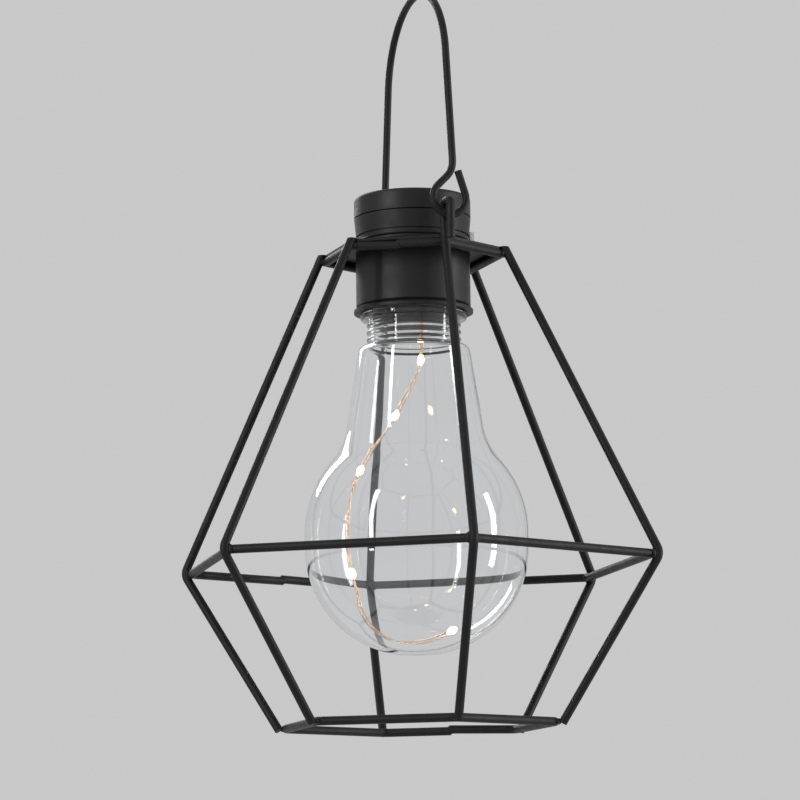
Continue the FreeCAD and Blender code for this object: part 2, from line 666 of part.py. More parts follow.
def body_edges(inset):
    """Outline edges of the bulb's body, from its neck to its base on the axis."""
    neck = NECK_RADIUS - inset
    shoulder_z = SHOULDER_Z - inset
    cone_top, slope, cone_foot, flare_centre, globe, globe_join = body_points(inset)
    corner = at_height(cone_top, cone_top + slope, shoulder_z)
    start = Vector(neck, 0, shoulder_z)
    shoulder = rounded_path([start, corner, cone_foot], [0, SHOULDER_EDGE - inset, 0])
    widest = Vector(GLOBE_RADIUS - inset, 0, GLOBE_Z)
    bowl_start = Vector(GLOBE_RADIUS - inset, 0, BOWL_Z)
    bowl_centre = Vector(BULB_FOOT_RADIUS, 0, BOWL_Z)
    foot = Vector(BULB_FOOT_RADIUS, 0, BULB_BASE_Z + inset)
    return shoulder.Edges + [
        arc_between(flare_centre, cone_foot, globe_join),
        arc_between(globe, globe_join, widest),
        Part.makeLine(widest, bowl_start),
        arc_between(bowl_centre, bowl_start, foot),
        Part.makeLine(foot, Vector(0, 0, BULB_BASE_Z + inset)),
    ]


def neck_points():
    """Corner points of the neck's outside, from its threaded end down to the shoulder."""
    points = [
        (THREAD_NECK_RADIUS, BEAD_TOP_Z + THREAD_NECK_HEIGHT),
        (THREAD_NECK_RADIUS, BEAD_TOP_Z),
        (BEAD_RADIUS, BEAD_TOP_Z),
        (BEAD_RADIUS, BEAD_BOTTOM_Z),
        (NECK_RADIUS, BEAD_BOTTOM_Z),
    ]
    first = BEAD_BOTTOM_Z - (NECK_LENGTH - NECK_RING_PITCH * (NECK_RING_COUNT - 1)) / 2
    for i in range(NECK_RING_COUNT):
        middle = first - NECK_RING_PITCH * i
        points.append((NECK_RADIUS, middle + NECK_RING_WIDTH / 2))
        points.append((NECK_RADIUS + NECK_RING_HEIGHT, middle))
        points.append((NECK_RADIUS, middle - NECK_RING_WIDTH / 2))
    points.append((NECK_RADIUS, SHOULDER_Z))
    return [Vector(radius, 0, z) for radius, z in points]


def bulb():
    """Clear shell of even wall from its threaded neck to its rounded base."""
    outside = neck_points()
    radii = [0] * len(outside)
    radii[2] = BEAD_EDGE
    radii[3] = BEAD_EDGE
    bore = NECK_RADIUS - BULB_WALL
    mouth = outside[0]
    edges = rounded_path(outside, radii).Edges + body_edges(0)
    inside = [Part.makeLine(Vector(bore, 0, mouth.z), Vector(bore, 0, SHOULDER_Z - BULB_WALL))]
    inside += body_edges(BULB_WALL)
    base = Part.makeLine(Vector(0, 0, BULB_BASE_Z), Vector(0, 0, BULB_BASE_Z + BULB_WALL))
    lip = Part.makeLine(Vector(bore, 0, mouth.z), mouth)
    outline = Part.Wire(Part.__sortEdges__(edges + inside + [base, lip]))
    return Part.Face(outline).revolve(Vector(0, 0, 0), UP, 360)


def neck_gasket():
    """Soft ring on the cell tube between the neck's lip and the sleeve's ceiling."""
    high = SLEEVE_CEILING_Z - GASKET_GAP
    inner = TUBE_RADIUS + GASKET_PLAY
    return ring_of(inner, inner + GASKET_WIDTH, high - GASKET_THICKNESS, high)


def wire_grommet():
    """Bush in the tube's floor that the lamp wire comes out of."""
    bush = cylinder(GROMMET_RADIUS, TUBE_BOTTOM_Z, TUBE_FLOOR_Z, GROMMET_X, GROMMET_Y)
    lip = cylinder(GROMMET_LIP_RADIUS, GROMMET_BOTTOM_Z, TUBE_BOTTOM_Z, GROMMET_X, GROMMET_Y)
    return bush.fuse(lip).removeSplitter()


def lamp_points():
    """Points of the lamp wire's route."""
    return [Vector(x, y, GROMMET_BOTTOM_Z - drop) for x, y, drop in LAMP_ROUTE]


def lamp_wire():
    """Wire along its route, with arcs as large as the runs allow."""
    points = lamp_points()
    radii = [0]
    for before, point, after in zip(points, points[1:], points[2:]):
        turn = (point - before).getAngle(after - point)
        shorter = min((point - before).Length, (after - point).Length)
        radii.append(0.45 * shorter / math.tan(turn / 2))
    radii.append(0)
    path = rounded_path(points, radii)
    print("lamp wire length", round(path.Length, 2))
    return round_bar(path, LAMP_WIRE)


def lamp(centre, heading):
    """Sealed lamp with rounded ends about the wire."""
    half = LAMP_LENGTH / 2
    outline = [(0, -half), (LAMP_RADIUS, -half), (LAMP_RADIUS, half), (0, half)]
    drop = turned(outline, [0, LAMP_EDGE, LAMP_EDGE, 0])
    drop.Placement = FreeCAD.Placement(centre, FreeCAD.Rotation(UP, heading))
    return drop


def lamps():
    """Lamps in the middle of their runs, and one on the wire's far end."""
    points = lamp_points()
    drops = []
    for run in LAMP_RUN_INDEX:
        drops.append(lamp((points[run] + points[run + 1]) * 0.5, points[run + 1] - points[run]))
    drops.append(lamp(points[-1], points[-1] - points[-2]))
    return Part.makeCompound(drops)


def lantern():
    """All pieces by name."""
    sides = ("front", "front_right", "rear_right", "rear", "rear_left", "front_left")
    pieces = {}
    for index, side in enumerate(sides):
        hooked = index % (CORNERS // 2) == 0
        pieces["rib_" + side] = hooked_rib(index) if hooked else plain_rib(index)
    ribs = list(pieces.values())
    rings = {
        "base_ring": wire_ring(BASE_RING_RADIUS, BASE_TURN_DEG, BASE_Z, BASE_SEAM_CORNER, RING_STEP),
        "waist_ring": wire_ring(WAIST_RING_RADIUS, WAIST_TURN_DEG, WAIST_Z, WAIST_SEAM_CORNER, RING_STEP),
        "top_ring": wire_ring(TOP_RING_RADIUS, 0, TOP_Z, TOP_SEAM_CORNER, -RING_STEP),
    }
    for name, ring in rings.items():
        pieces[name] = ring.cut(ribs)
    pieces["top_plate"] = top_plate(ribs)
    pieces["bail"] = bail()
    pieces["socket_sleeve"] = socket_sleeve()
    pieces["battery_housing"] = battery_housing()
    pieces["clamp_screws"] = clamp_screws()
    pieces["battery_lid"] = battery_lid()
    pieces["lid_contact_plate"] = lid_contact_plate()
    pieces["lid_seal"] = lid_seal()
    pieces["cell_cradle"] = cell_cradle()
    pieces["contact_springs"] = contact_springs()
    for number, place in enumerate(cell_places(), start=1):
        pieces["battery_cell_%d" % number] = battery_cell(place)
    pieces["switch_body"] = switch_body()
    pieces["switch_knob"] = switch_knob()
    pieces["control_board"] = control_board()
    pieces["bulb"] = bulb()
    pieces["neck_gasket"] = neck_gasket()
    pieces["wire_grommet"] = wire_grommet()
    pieces["lamp_wire"] = lamp_wire()
    pieces["lamps"] = lamps()
    return pieces


os.makedirs("parts", exist_ok=True)
for node, shape in lantern().items():
    shape.exportStep("parts/%s.step" % node)
    print(node, "solids", len(shape.Solids), "valid", shape.isValid(), "volume", round(shape.Volume, 1))
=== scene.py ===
"""Hanging wire cage lantern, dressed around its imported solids.

The wire cage, the bail and the cap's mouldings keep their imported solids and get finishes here.
The clear bottle, the lamp string, the welds, the knob and the small fittings are modelled here.
The lantern's own classes hold their sizes in millimetres, and Blender gets metres.
"""
import logging
import math
from contextlib import contextmanager
from dataclasses import dataclass
from enum import Enum
from typing import Callable, Iterator, Sequence

import bmesh
import bpy
from mathutils import Matrix, Quaternion, Vector


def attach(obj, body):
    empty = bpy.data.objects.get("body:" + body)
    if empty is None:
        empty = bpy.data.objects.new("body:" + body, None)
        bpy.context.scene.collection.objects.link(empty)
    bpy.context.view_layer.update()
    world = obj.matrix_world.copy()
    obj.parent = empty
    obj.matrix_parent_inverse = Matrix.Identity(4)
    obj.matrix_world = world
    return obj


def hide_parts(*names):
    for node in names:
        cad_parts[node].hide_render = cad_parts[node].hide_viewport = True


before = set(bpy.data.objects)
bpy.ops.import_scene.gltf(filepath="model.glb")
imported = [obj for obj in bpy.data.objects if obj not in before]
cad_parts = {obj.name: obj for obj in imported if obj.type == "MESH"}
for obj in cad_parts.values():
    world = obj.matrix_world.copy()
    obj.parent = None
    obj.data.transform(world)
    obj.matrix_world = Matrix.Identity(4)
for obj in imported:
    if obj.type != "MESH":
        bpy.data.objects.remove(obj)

LOG = logging.getLogger("lantern")
MM = 0.001
NEAR = 1e-6  # metres within which two places are one
FULL_TURN = 2 * math.pi
CORNERS = 6  # of each ring of the cage
UP = Vector((0.0, 0.0, 1.0))
GLOW = "glow"  # attribute that the lamps' finish reads

Span = tuple[float, float]
Triple = tuple[float, float, float]
Colour = Triple
Stops = tuple[tuple[float, Colour], ...]
Socket = bpy.types.NodeSocket
Piece = bpy.types.Object


class Body(Enum):
    """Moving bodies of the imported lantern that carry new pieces."""

    CAGE = "cage"
    KNOB = "knob"
    BOTTLE = "bottle"


class Slot(Enum):
    """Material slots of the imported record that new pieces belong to."""

    WIRE = "black_wire"
    KNOB = "white_plastic"
    STEEL = "bright_steel"
    CLEAR = "clear_plastic"
    COPPER = "copper"
    LAMP = "lamp_resin"


class Pick(Enum):
    """What edit mode selects."""

    VERT = "VERT"
    EDGE = "EDGE"
    FACE = "FACE"


class Crease(Enum):
    """Angles in degrees, past which an edge stays sharp when a piece is shaded smooth."""

    EDGED = 35.0
    TURNED = 38.0
    COILED = 50.0
    SOFT = 60.0
    ROUND = 70.0


# ---------------------------------------------------------------- modelling moves


class Bench:
    """Modelling moves on Blender's own operators."""

    BEVEL_FROM_DEG = 40.0

    @staticmethod
    def clear() -> None:
        """Deselects every object."""
        bpy.ops.object.select_all(action="DESELECT")

    @staticmethod
    def only(piece: Piece) -> None:
        """Makes one object the selected and active one.

        Args:
            piece: the object.
        """
        Bench.clear()
        piece.select_set(True)
        bpy.context.view_layer.objects.active = piece

    @staticmethod
    def added(name: str) -> Piece:
        """Names the active object, which was just added or joined, and its mesh.

        Args:
            name: the name of both.

        Returns:
            The object.
        """
        piece = bpy.context.view_layer.objects.active
        piece.name = name
        piece.data.name = name
        return piece

    @staticmethod
    @contextmanager
    def editing(piece: Piece) -> Iterator[None]:
        """Holds one object in edit mode.

        Args:
            piece: the object.

        Returns:
            A context, which goes back to object mode at its end.
        """
        Bench.only(piece)
        bpy.ops.object.mode_set(mode="EDIT")
        yield
        bpy.ops.object.mode_set(mode="OBJECT")

    @staticmethod
    def pick(piece: Piece, kind: Pick, test: Callable[[object], bool]) -> None:
        """In edit mode, selects the elements that a test takes, and no others.

        Args:
            piece: the object in edit mode.
            kind: which elements are looked at.
            test: says whether an element is taken.
        """
        bpy.ops.mesh.select_mode(type=kind.value)
        bpy.ops.mesh.select_all(action="DESELECT")
        mesh = bmesh.from_edit_mesh(piece.data)
        elements = {Pick.VERT: mesh.verts, Pick.EDGE: mesh.edges, Pick.FACE: mesh.faces}[kind]
        for element in elements:
            if test(element):
                element.select_set(True)
        mesh.select_flush_mode()
        bmesh.update_edit_mesh(piece.data)

    @staticmethod
    def pull(step: Vector) -> None:
        """Extrudes what is selected along a step."""
        bpy.ops.mesh.extrude_region_move(TRANSFORM_OT_translate={"value": tuple(step)})

    @staticmethod
    def slices(places: Sequence[float], normal: Vector) -> None:
        """In edit mode, cuts the whole mesh by planes.

        Args:
            places: where the planes cut, as distances along the normal.
            normal: the direction that the planes stand across.
        """
        for place in places:
            bpy.ops.mesh.select_all(action="SELECT")
            bpy.ops.mesh.bisect(plane_co=tuple(normal * place), plane_no=tuple(normal))

    @staticmethod
    def tidy() -> None:
        """In edit mode, merges doubles and turns every face outwards."""
        bpy.ops.mesh.select_all(action="SELECT")
        bpy.ops.mesh.remove_doubles(threshold=NEAR)
        bpy.ops.mesh.normals_make_consistent(inside=False)

    @staticmethod
    def settle(piece: Piece) -> None:
        """Applies the object's place, turn and scale to its mesh."""
        Bench.only(piece)
        bpy.ops.object.transform_apply(location=True, rotation=True, scale=True)

    @staticmethod
    def finish_modifiers(piece: Piece) -> None:
        """Applies every modifier in order.

        Args:
            piece: the object that has them.
        """
        Bench.only(piece)
        for modifier in list(piece.modifiers):
            bpy.ops.object.modifier_apply(modifier=modifier.name)

    @staticmethod
    def smooth(piece: Piece, crease: Crease) -> None:
        """Shades the piece smooth, apart from its creases."""
        Bench.only(piece)
        bpy.ops.object.shade_smooth_by_angle(angle=math.radians(crease.value))

    @staticmethod
    def bevel(piece: Piece, width: float, segments: int) -> None:
        """Rounds the piece's sharp edges.

        Args:
            piece: the object.
            width: how far the rounding reaches from an edge, in metres.
            segments: how many strips it has.
        """
        modifier = piece.modifiers.new("edge", "BEVEL")
        modifier.width = width
        modifier.segments = segments
        modifier.limit_method = "ANGLE"
        modifier.angle_limit = math.radians(Bench.BEVEL_FROM_DEG)
        Bench.finish_modifiers(piece)

    @staticmethod
    def subdivide(piece: Piece, levels: int) -> None:
        """Smooths the piece with a subdivision surface.

        Args:
            piece: the object.
            levels: how many times its faces are split.
        """
        modifier = piece.modifiers.new("surface", "SUBSURF")
        modifier.levels = levels
        modifier.render_levels = levels
        Bench.finish_modifiers(piece)

    @staticmethod
    def block(name: str, size: Triple, place: Triple, turn: float = 0.0) -> Piece:
        """Adds a rectangular block, to be shaped further or to cut with.

        Args:
            name: the block's name.
            size: its lengths along X, Y and Z, in millimetres.
            place: its middle, in millimetres.
            turn: how far it is turned about Z, in radians.

        Returns:
            The block.
        """
        Bench.clear()
        bpy.ops.mesh.primitive_cube_add(
            size=MM, scale=size, location=Vector(place) * MM, rotation=(0, 0, turn))
        piece = Bench.added(name)
        Bench.settle(piece)
        return piece

    @staticmethod
    def wind(piece: Piece, turns: float, rise: float, steps: int) -> None:
        """Winds an outline about Z into a helix with open ends.

        Args:
            piece: the outline, where the helix starts.
            turns: how often it goes round.
            rise: how far it climbs in all, in metres.
            steps: sides of the whole helix.
        """
        winding = piece.modifiers.new("winding", "SCREW")
        winding.axis = "Z"
        winding.angle = FULL_TURN * turns
        winding.screw_offset = rise
        winding.steps = steps
        winding.render_steps = steps
        Bench.finish_modifiers(piece)

    @staticmethod
    def close_ends(piece: Piece) -> None:
        """Fills the open ends of a helix.

        Args:
            piece: the helix.
        """
        with Bench.editing(piece):
            Bench.pick(piece, Pick.EDGE, lambda edge: edge.is_boundary)
            bpy.ops.mesh.edge_face_add()
            Bench.tidy()

    @staticmethod
    def copies(piece: Piece, places: Sequence[Matrix]) -> Piece:
        """Copies a piece to each place, joins the copies and drops the pattern piece.

        Args:
            piece: the pattern, at the origin.
            places: where each copy goes.

        Returns:
            The joined piece, under the pattern's name.
        """
        name = piece.name
        made = []
        for place in places:
            Bench.only(piece)
            bpy.ops.object.duplicate()
            copy = bpy.context.view_layer.objects.active
            copy.matrix_world = place
            Bench.settle(copy)
            made.append(copy)
        bpy.data.objects.remove(piece)
        return Bench.joined(made, name)

    @staticmethod
    def joined(pieces: Sequence[Piece], name: str) -> Piece:
        """Joins pieces into the first of them.

        Args:
            pieces: the pieces, at least two.
            name: the joined piece's name.

        Returns:
            The joined piece.
        """
        Bench.clear()
        for piece in pieces:
            piece.select_set(True)
        bpy.context.view_layer.objects.active = pieces[0]
        bpy.ops.object.join()
        return Bench.added(name)

    @staticmethod
    def lathe(name: str, outline: Sequence[Vector], steps: int) -> Piece:
        """Turns a half outline about Z into a closed mesh.

        Args:
            name: the piece's name.
            outline: radius and height points in millimetres, with both ends on the axis.
            steps: sides of the turned mesh.

        Returns:
            The turned piece.
        """
        Bench.clear()
        bpy.ops.mesh.primitive_plane_add(size=MM)
        piece = Bench.added(name)
        points = [Vector((point.x, 0.0, point.y)) * MM for point in outline]
        with Bench.editing(piece):
            bpy.ops.mesh.select_mode(type=Pick.VERT.value)
            bpy.ops.mesh.select_all(action="SELECT")
            bpy.ops.mesh.merge(type="CENTER")
            bpy.ops.transform.translate(value=tuple(points[0]))
            for here, after in zip(points, points[1:]):
                Bench.pull(after - here)
            bpy.ops.mesh.select_all(action="SELECT")
            bpy.ops.mesh.spin(steps=steps, angle=FULL_TURN, center=(0, 0, 0), axis=(0, 0, 1))
            Bench.tidy()
        return piece


class Outline:
    """Half outlines of turned pieces, as radius and height points in millimetres."""

    ARC_STEP_DEG = 4.0
    EDGE_STEP_DEG = 12.0

    @staticmethod
    def arc(centre: Vector, start: Vector, end: Vector,
            step_deg: float = ARC_STEP_DEG) -> list[Vector]:
        """Points on an arc of under a half turn, from start to end.

        Args:
            centre: the arc's centre.
            start: its first point.
            end: its last point.
            step_deg: the largest step between points.

        Returns:
            The points, both ends among them.
        """
        first = math.atan2(start.y - centre.y, start.x - centre.x)
        turn = math.atan2(end.y - centre.y, end.x - centre.x) - first
        turn = (turn + math.pi) % FULL_TURN - math.pi
        radius = (start - centre).length
        count = max(2, math.ceil(abs(math.degrees(turn)) / step_deg))
        angles = [first + turn * i / count for i in range(count + 1)]
        return [centre + Vector((math.cos(a), math.sin(a))) * radius for a in angles]

    @staticmethod
    def rounded(points: Sequence[Vector], radii: Sequence[float]) -> list[Vector]:
        """Straight runs through points, with each inner corner rounded to its radius.

        Args:
            points: the sharp corners.
            radii: a radius for each, where 0 is sharp.

        Returns:
            The points of the rounded outline.
        """
        made = []
        for i, (corner, radius) in enumerate(zip(points, radii)):
            if radius == 0:
                made.append(corner.copy())
                continue
            back = (points[i - 1] - corner).normalized()
            ahead = (points[i + 1] - corner).normalized()
            half = back.angle(ahead) / 2
            reach = radius / math.tan(half)
            centre = corner + (back + ahead).normalized() * (radius / math.sin(half))
            made += Outline.arc(centre, corner + back * reach, corner + ahead * reach,
                                Outline.EDGE_STEP_DEG)
        return made


# ---------------------------------------------------------------- finishes


NOISE_LOW, NOISE_HIGH = 0.3, 0.7  # between which most of a noise's values lie
EVEN: Triple = (1.0, 1.0, 1.0)


def shades(dark: Colour, pale: Colour) -> Stops:
    """Two tones over the usual range of a noise."""
    return ((NOISE_LOW, dark), (NOISE_HIGH, pale))


def opaque(colour: Colour) -> tuple[float, ...]:
    """The colour with full alpha."""
    return (*colour, 1.0)


@dataclass(frozen=True)
class Grain:
    """Cloudy noise: its waves to the metre, its finer layers and its scale along each axis."""

    waves: float
    layers: float = 2.0
    scale: Triple = EVEN


class Shader:
    """Node tree of one finish: its main shader and the nodes that feed it."""

    def __init__(self, name: str) -> None:
        """Starts a material.

        Args:
            name: the material's name.
        """
        self.material = bpy.data.materials.new(name)
        self.material.use_nodes = True
        self.nodes = self.material.node_tree.nodes
        self.links = self.material.node_tree.links
        self.main = next(node for node in self.nodes if node.type == "BSDF_PRINCIPLED")
        self.place = self.nodes.new("ShaderNodeTexCoord").outputs["Object"]
        self.grains: dict[Grain, Socket] = {}

    def fix(self, **values: float | tuple[float, ...]) -> None:
        """Sets sockets of the main shader, named in words joined by underscores."""
        for words, value in values.items():
            self.main.inputs[words.replace("_", " ")].default_value = value

    def feed(self, socket: str, source: Socket) -> None:
        """Links a source to a socket of the main shader."""
        self.links.new(source, self.main.inputs[socket])

    def scaled(self, scale: Triple) -> Socket:
        """Object coordinates, scaled along each axis.

        Args:
            scale: the three scales.

        Returns:
            The coordinates.
        """
        if scale == EVEN:
            return self.place
        mapping = self.nodes.new("ShaderNodeMapping")
        mapping.inputs["Scale"].default_value = scale
        self.links.new(self.place, mapping.inputs["Vector"])
        return mapping.outputs["Vector"]

    def noise(self, grain: Grain) -> Socket:
        """Cloudy grey noise, made once for each grain.

        Args:
            grain: what the noise is like.

        Returns:
            The noise's value.
        """
        if grain not in self.grains:
            node = self.nodes.new("ShaderNodeTexNoise")
            node.inputs["Scale"].default_value = grain.waves
            node.inputs["Detail"].default_value = grain.layers
            self.links.new(self.scaled(grain.scale), node.inputs["Vector"])
            self.grains[grain] = node.outputs["Fac"]
        return self.grains[grain]

    def cells(self, waves: float) -> Socket:
        """Distance to the nearest of scattered points.

        Args:
            waves: how many points there are to the metre.

        Returns:
            The distance.
        """
        node = self.nodes.new("ShaderNodeTexVoronoi")
        node.inputs["Scale"].default_value = waves
        self.links.new(self.place, node.inputs["Vector"])
        return node.outputs["Distance"]

    def axis(self, name: str) -> Socket:
        """One of the object coordinates, in metres.

        Args:
            name: X, Y or Z.

        Returns:
            The coordinate.
        """
        split = self.nodes.new("ShaderNodeSeparateXYZ")
        self.links.new(self.place, split.inputs["Vector"])
        return split.outputs[name]

    def attribute(self, name: str) -> Socket:
        """A number kept on the mesh's points.

        Args:
            name: the attribute's name.

        Returns:
            The number.
        """
        node = self.nodes.new("ShaderNodeAttribute")
        node.attribute_name = name
        return node.outputs["Fac"]

    def spread(self, source: Socket, low: float, high: float,
               start: float = NOISE_LOW, end: float = NOISE_HIGH) -> Socket:
        """Maps a source from start..end to low..high, and holds it there.

        Args:
            source: the value to map.
            low: the result at start.
            high: the result at end.
            start: the source's lower end.
            end: the source's upper end.

        Returns:
            The mapped value.
        """
        node = self.nodes.new("ShaderNodeMapRange")
        node.inputs["From Min"].default_value = start
        node.inputs["From Max"].default_value = end
        node.inputs["To Min"].default_value = low
        node.inputs["To Max"].default_value = high
        self.links.new(source, node.inputs["Value"])
        return node.outputs["Result"]

    def share(self, source: Socket, edge: Span) -> Socket:
        """How far a source has come from one end of an edge to the other, from 0 to 1."""
        return self.spread(source, 0.0, 1.0, *edge)

    def tones(self, source: Socket, stops: Stops) -> Socket:
        """Colours along a source.

        Args:
            source: the value that is looked up.
            stops: places from 0 to 1, each with its colour.

        Returns:
            The colour.
        """
        node = self.nodes.new("ShaderNodeValToRGB")
        ramp = node.color_ramp
        while len(ramp.elements) < len(stops):
            ramp.elements.new(1.0)
        for element, (place, colour) in zip(ramp.elements, stops):
            element.position = place
            element.color = opaque(colour)
        self.links.new(source, node.inputs["Fac"])
        return node.outputs["Color"]

    def over(self, amount: Socket, below: Socket, above: Socket | Colour) -> Socket:
        """One colour laid over another.

        Args:
            amount: how much of the upper colour shows, from 0 to 1.
            below: the lower colour.
            above: the upper colour, plain or from a source.

        Returns:
            The mixed colour.
        """
        node = self.nodes.new("ShaderNodeMix")
        node.data_type = "RGBA"
        self.links.new(amount, node.inputs["Factor"])
        self.links.new(below, node.inputs["A"])
        if isinstance(above, tuple):
            node.inputs["B"].default_value = opaque(above)
        else:
            self.links.new(above, node.inputs["B"])
        return next(out for out in node.outputs if out.type == "RGBA")

    def relief(self, source: Socket, depth: float, strength: float) -> None:
        """Bumps the surface by a source.

        Args:
            source: the height, from 0 to 1.
            depth: how far a height of 1 stands out, in millimetres.
            strength: how much of it shows.
        """
        node = self.nodes.new("ShaderNodeBump")
        node.inputs["Distance"].default_value = depth * MM
        node.inputs["Strength"].default_value = strength
        self.links.new(source, node.inputs["Height"])
        self.links.new(node.outputs["Normal"], self.main.inputs["Normal"])


def seen_rays(tree: bpy.types.NodeTree) -> Socket:
    """Finds the rays that show a surface to the eye, straight or by way of gloss and glass.

    Args:
        tree: the node tree that asks.

    Returns:
        1 for such a ray, and 0 for any other.
    """
    path = tree.nodes.new("ShaderNodeLightPath")
    seen = path.outputs["Is Camera Ray"]
    for name in ("Is Glossy Ray", "Is Transmission Ray"):
        either = tree.nodes.new("ShaderNodeMath")
        either.operation = "MAXIMUM"
        tree.links.new(seen, either.inputs[0])
        tree.links.new(path.outputs[name], either.inputs[1])
        seen = either.outputs[0]
    return seen


class Finish:
    """A procedural finish, whose material is made once and shared."""

    name: str

    def paint(self, shader: Shader) -> None:
        """Fills in the finish's shader."""
        raise NotImplementedError

    def dress(self, *pieces: Piece) -> None:
        """Gives pieces this finish and no other.

        Args:
            pieces: the objects that get it.
        """
        material = bpy.data.materials.get(self.name)
        if material is None:
            shader = Shader(self.name)
            self.paint(shader)
            material = shader.material
        for piece in pieces:
            piece.data.materials.clear()
            piece.data.materials.append(material)
            LOG.info("%s has the finish %s", piece.name, self.name)


@dataclass(frozen=True)
class Surface(Finish):
    """Opaque finish whose tone, gloss and relief each follow a grain; depths are in millimetres."""

    name: str
    tone: Stops
    tone_grain: Grain
    rough: Span
    rough_grain: Grain
    relief_grain: Grain
    relief_depth: float
    relief_show: float = 0.4
    metallic: float = 0.0
    specular: float = 0.5

    def base(self, shader: Shader) -> Socket:
        """The finish's colour."""
        return shader.tones(shader.noise(self.tone_grain), self.tone)

    def paint(self, shader: Shader) -> None:
        """Fills in the finish's shader.

        Args:
            shader: the shader that is filled in.
        """
        shader.fix(Metallic=self.metallic, Specular_IOR_Level=self.specular)
        shader.feed("Base Color", self.base(shader))
        shader.feed("Roughness", shader.spread(shader.noise(self.rough_grain), *self.rough))
        shader.relief(shader.noise(self.relief_grain), self.relief_depth, self.relief_show)


@dataclass(frozen=True)
class Moulding(Surface):
    """Moulded plastic with a fine spark-eroded grain."""

    tone_grain: Grain = Grain(35.0, 3.0)
    rough: Span = (0.42, 0.56)
    rough_grain: Grain = Grain(130.0, 4.0)
    relief_grain: Grain = Grain(3200.0)
    relief_depth: float = 0.03
    relief_show: float = 0.45
    specular: float = 0.4


@dataclass(frozen=True)
class PaleCopper(Surface):
    """Bright pale copper wire, redder where it has been handled."""

    name: str = "pale_copper"
    tone: Stops = (
        (0.28, (0.70, 0.42, 0.25)), (0.5, (0.87, 0.61, 0.41)), (0.8, (0.96, 0.78, 0.60)))
    tone_grain: Grain = Grain(160.0, 3.0)
    rough: Span = (0.16, 0.3)
    rough_grain: Grain = Grain(900.0)
    relief_grain: Grain = Grain(2600.0)
    relief_depth: float = 0.02
    metallic: float = 1.0


@dataclass(frozen=True)
class PlatedSteel(Surface):
    """Plated spring and screw steel, finely drawn."""

    name: str = "plated_steel"
    tone: Stops = shades((0.52, 0.52, 0.51), (0.72, 0.72, 0.70))
    tone_grain: Grain = Grain(1800.0, 3.0, (1.0, 1.0, 0.15))
    rough: Span = (0.2, 0.38)
    rough_grain: Grain = tone_grain
    relief_grain: Grain = tone_grain
    relief_depth: float = 0.01
    metallic: float = 1.0


@dataclass(frozen=True)
class SoftRubber(Surface):
    """Soft black rubber with a little bloom."""

    name: str = "soft_rubber"
    tone: Stops = ((0.35, (0.018, 0.018, 0.018)), (0.75, (0.05, 0.05, 0.049)))
    tone_grain: Grain = Grain(190.0, 4.0)
    rough: Span = (0.62, 0.82)
    rough_grain: Grain = tone_grain
    relief_grain: Grain = Grain(2400.0)
    relief_depth: float = 0.03


@dataclass(frozen=True)
class LampResin(Surface):
    """Clear resin drop round a lit lamp: white at its heart, amber towards its tips."""

    name: str = "lit_resin"
    tone: Stops = shades((0.86, 0.66, 0.40), (0.95, 0.80, 0.56))
    tone_grain: Grain = Grain(700.0)
    rough: Span = (0.10, 0.22)
    rough_grain: Grain = Grain(1500.0)
    relief_grain: Grain = Grain(900.0, 1.0)
    relief_depth: float = 0.06
    light: Stops = (
        (0.0, (0.10, 0.045, 0.012)), (0.4, (0.62, 0.34, 0.11)),
        (0.7, (1.0, 0.74, 0.36)), (1.0, (1.0, 0.88, 0.62)))
    power: float = 30.0

    def paint(self, shader: Shader) -> None:
        """Fills in the resin's shader, and its light.

        Args:
            shader: the shader that is filled in.
        """
        super().paint(shader)
        shader.fix(Emission_Strength=self.power)
        shader.feed("Emission Color", shader.tones(shader.attribute(GLOW), self.light))


@dataclass(frozen=True)
class PowderCoat(Surface):
    """Satin black powder coat on bent wire, with orange peel and a few rubbed flecks."""

    name: str = "powder_coat"
    tone: Stops = shades((0.0045, 0.0045, 0.005), (0.0095, 0.0092, 0.0095))
    tone_grain: Grain = Grain(70.0, 4.0)
    rough: Span = (0.46, 0.56)
    rough_grain: Grain = Grain(240.0, 3.0)
    relief_grain: Grain = Grain(900.0)
    relief_depth: float = 0.03
    relief_show: float = 0.25
    specular: float = 0.27
    rubbed: Colour = (0.045, 0.041, 0.037)
    fleck_grain: Grain = Grain(520.0, 6.0)
    fleck_edge: Span = (0.70, 0.75)

    def base(self, shader: Shader) -> Socket:
        """The coat's colour, with the flecks over it."""
        flecks = shader.share(shader.noise(self.fleck_grain), self.fleck_edge)
        return shader.over(flecks, super().base(shader), self.rubbed)


@dataclass(frozen=True)
class ClearPlastic(Finish):
    """Clear blown plastic with faint ripples in its wall."""

    name: str = "clear_bottle"
    tone: Stops = shades((0.955, 0.965, 0.975), (0.975, 0.985, 0.995))
    tone_grain: Grain = Grain(30.0)
    ior: float = 1.49
    haze: Span = (0.0, 0.02)
    haze_grain: Grain = Grain(260.0, 4.0)
    haze_edge: Span = (0.6, 0.85)
    ripple_grain: Grain = Grain(75.0, 1.0, (1.0, 1.0, 0.35))
    ripple_depth: float = 0.1
    ripple_show: float = 0.1

    def paint(self, shader: Shader) -> None:
        """Fills in the plastic's shader.

        Args:
            shader: the shader that is filled in.
        """
        shader.fix(Transmission_Weight=1.0, IOR=self.ior)
        shader.feed("Base Color", shader.tones(shader.noise(self.tone_grain), self.tone))
        haze = shader.spread(shader.noise(self.haze_grain), *self.haze, *self.haze_edge)
        shader.feed("Roughness", haze)
        shader.relief(shader.noise(self.ripple_grain), self.ripple_depth, self.ripple_show)


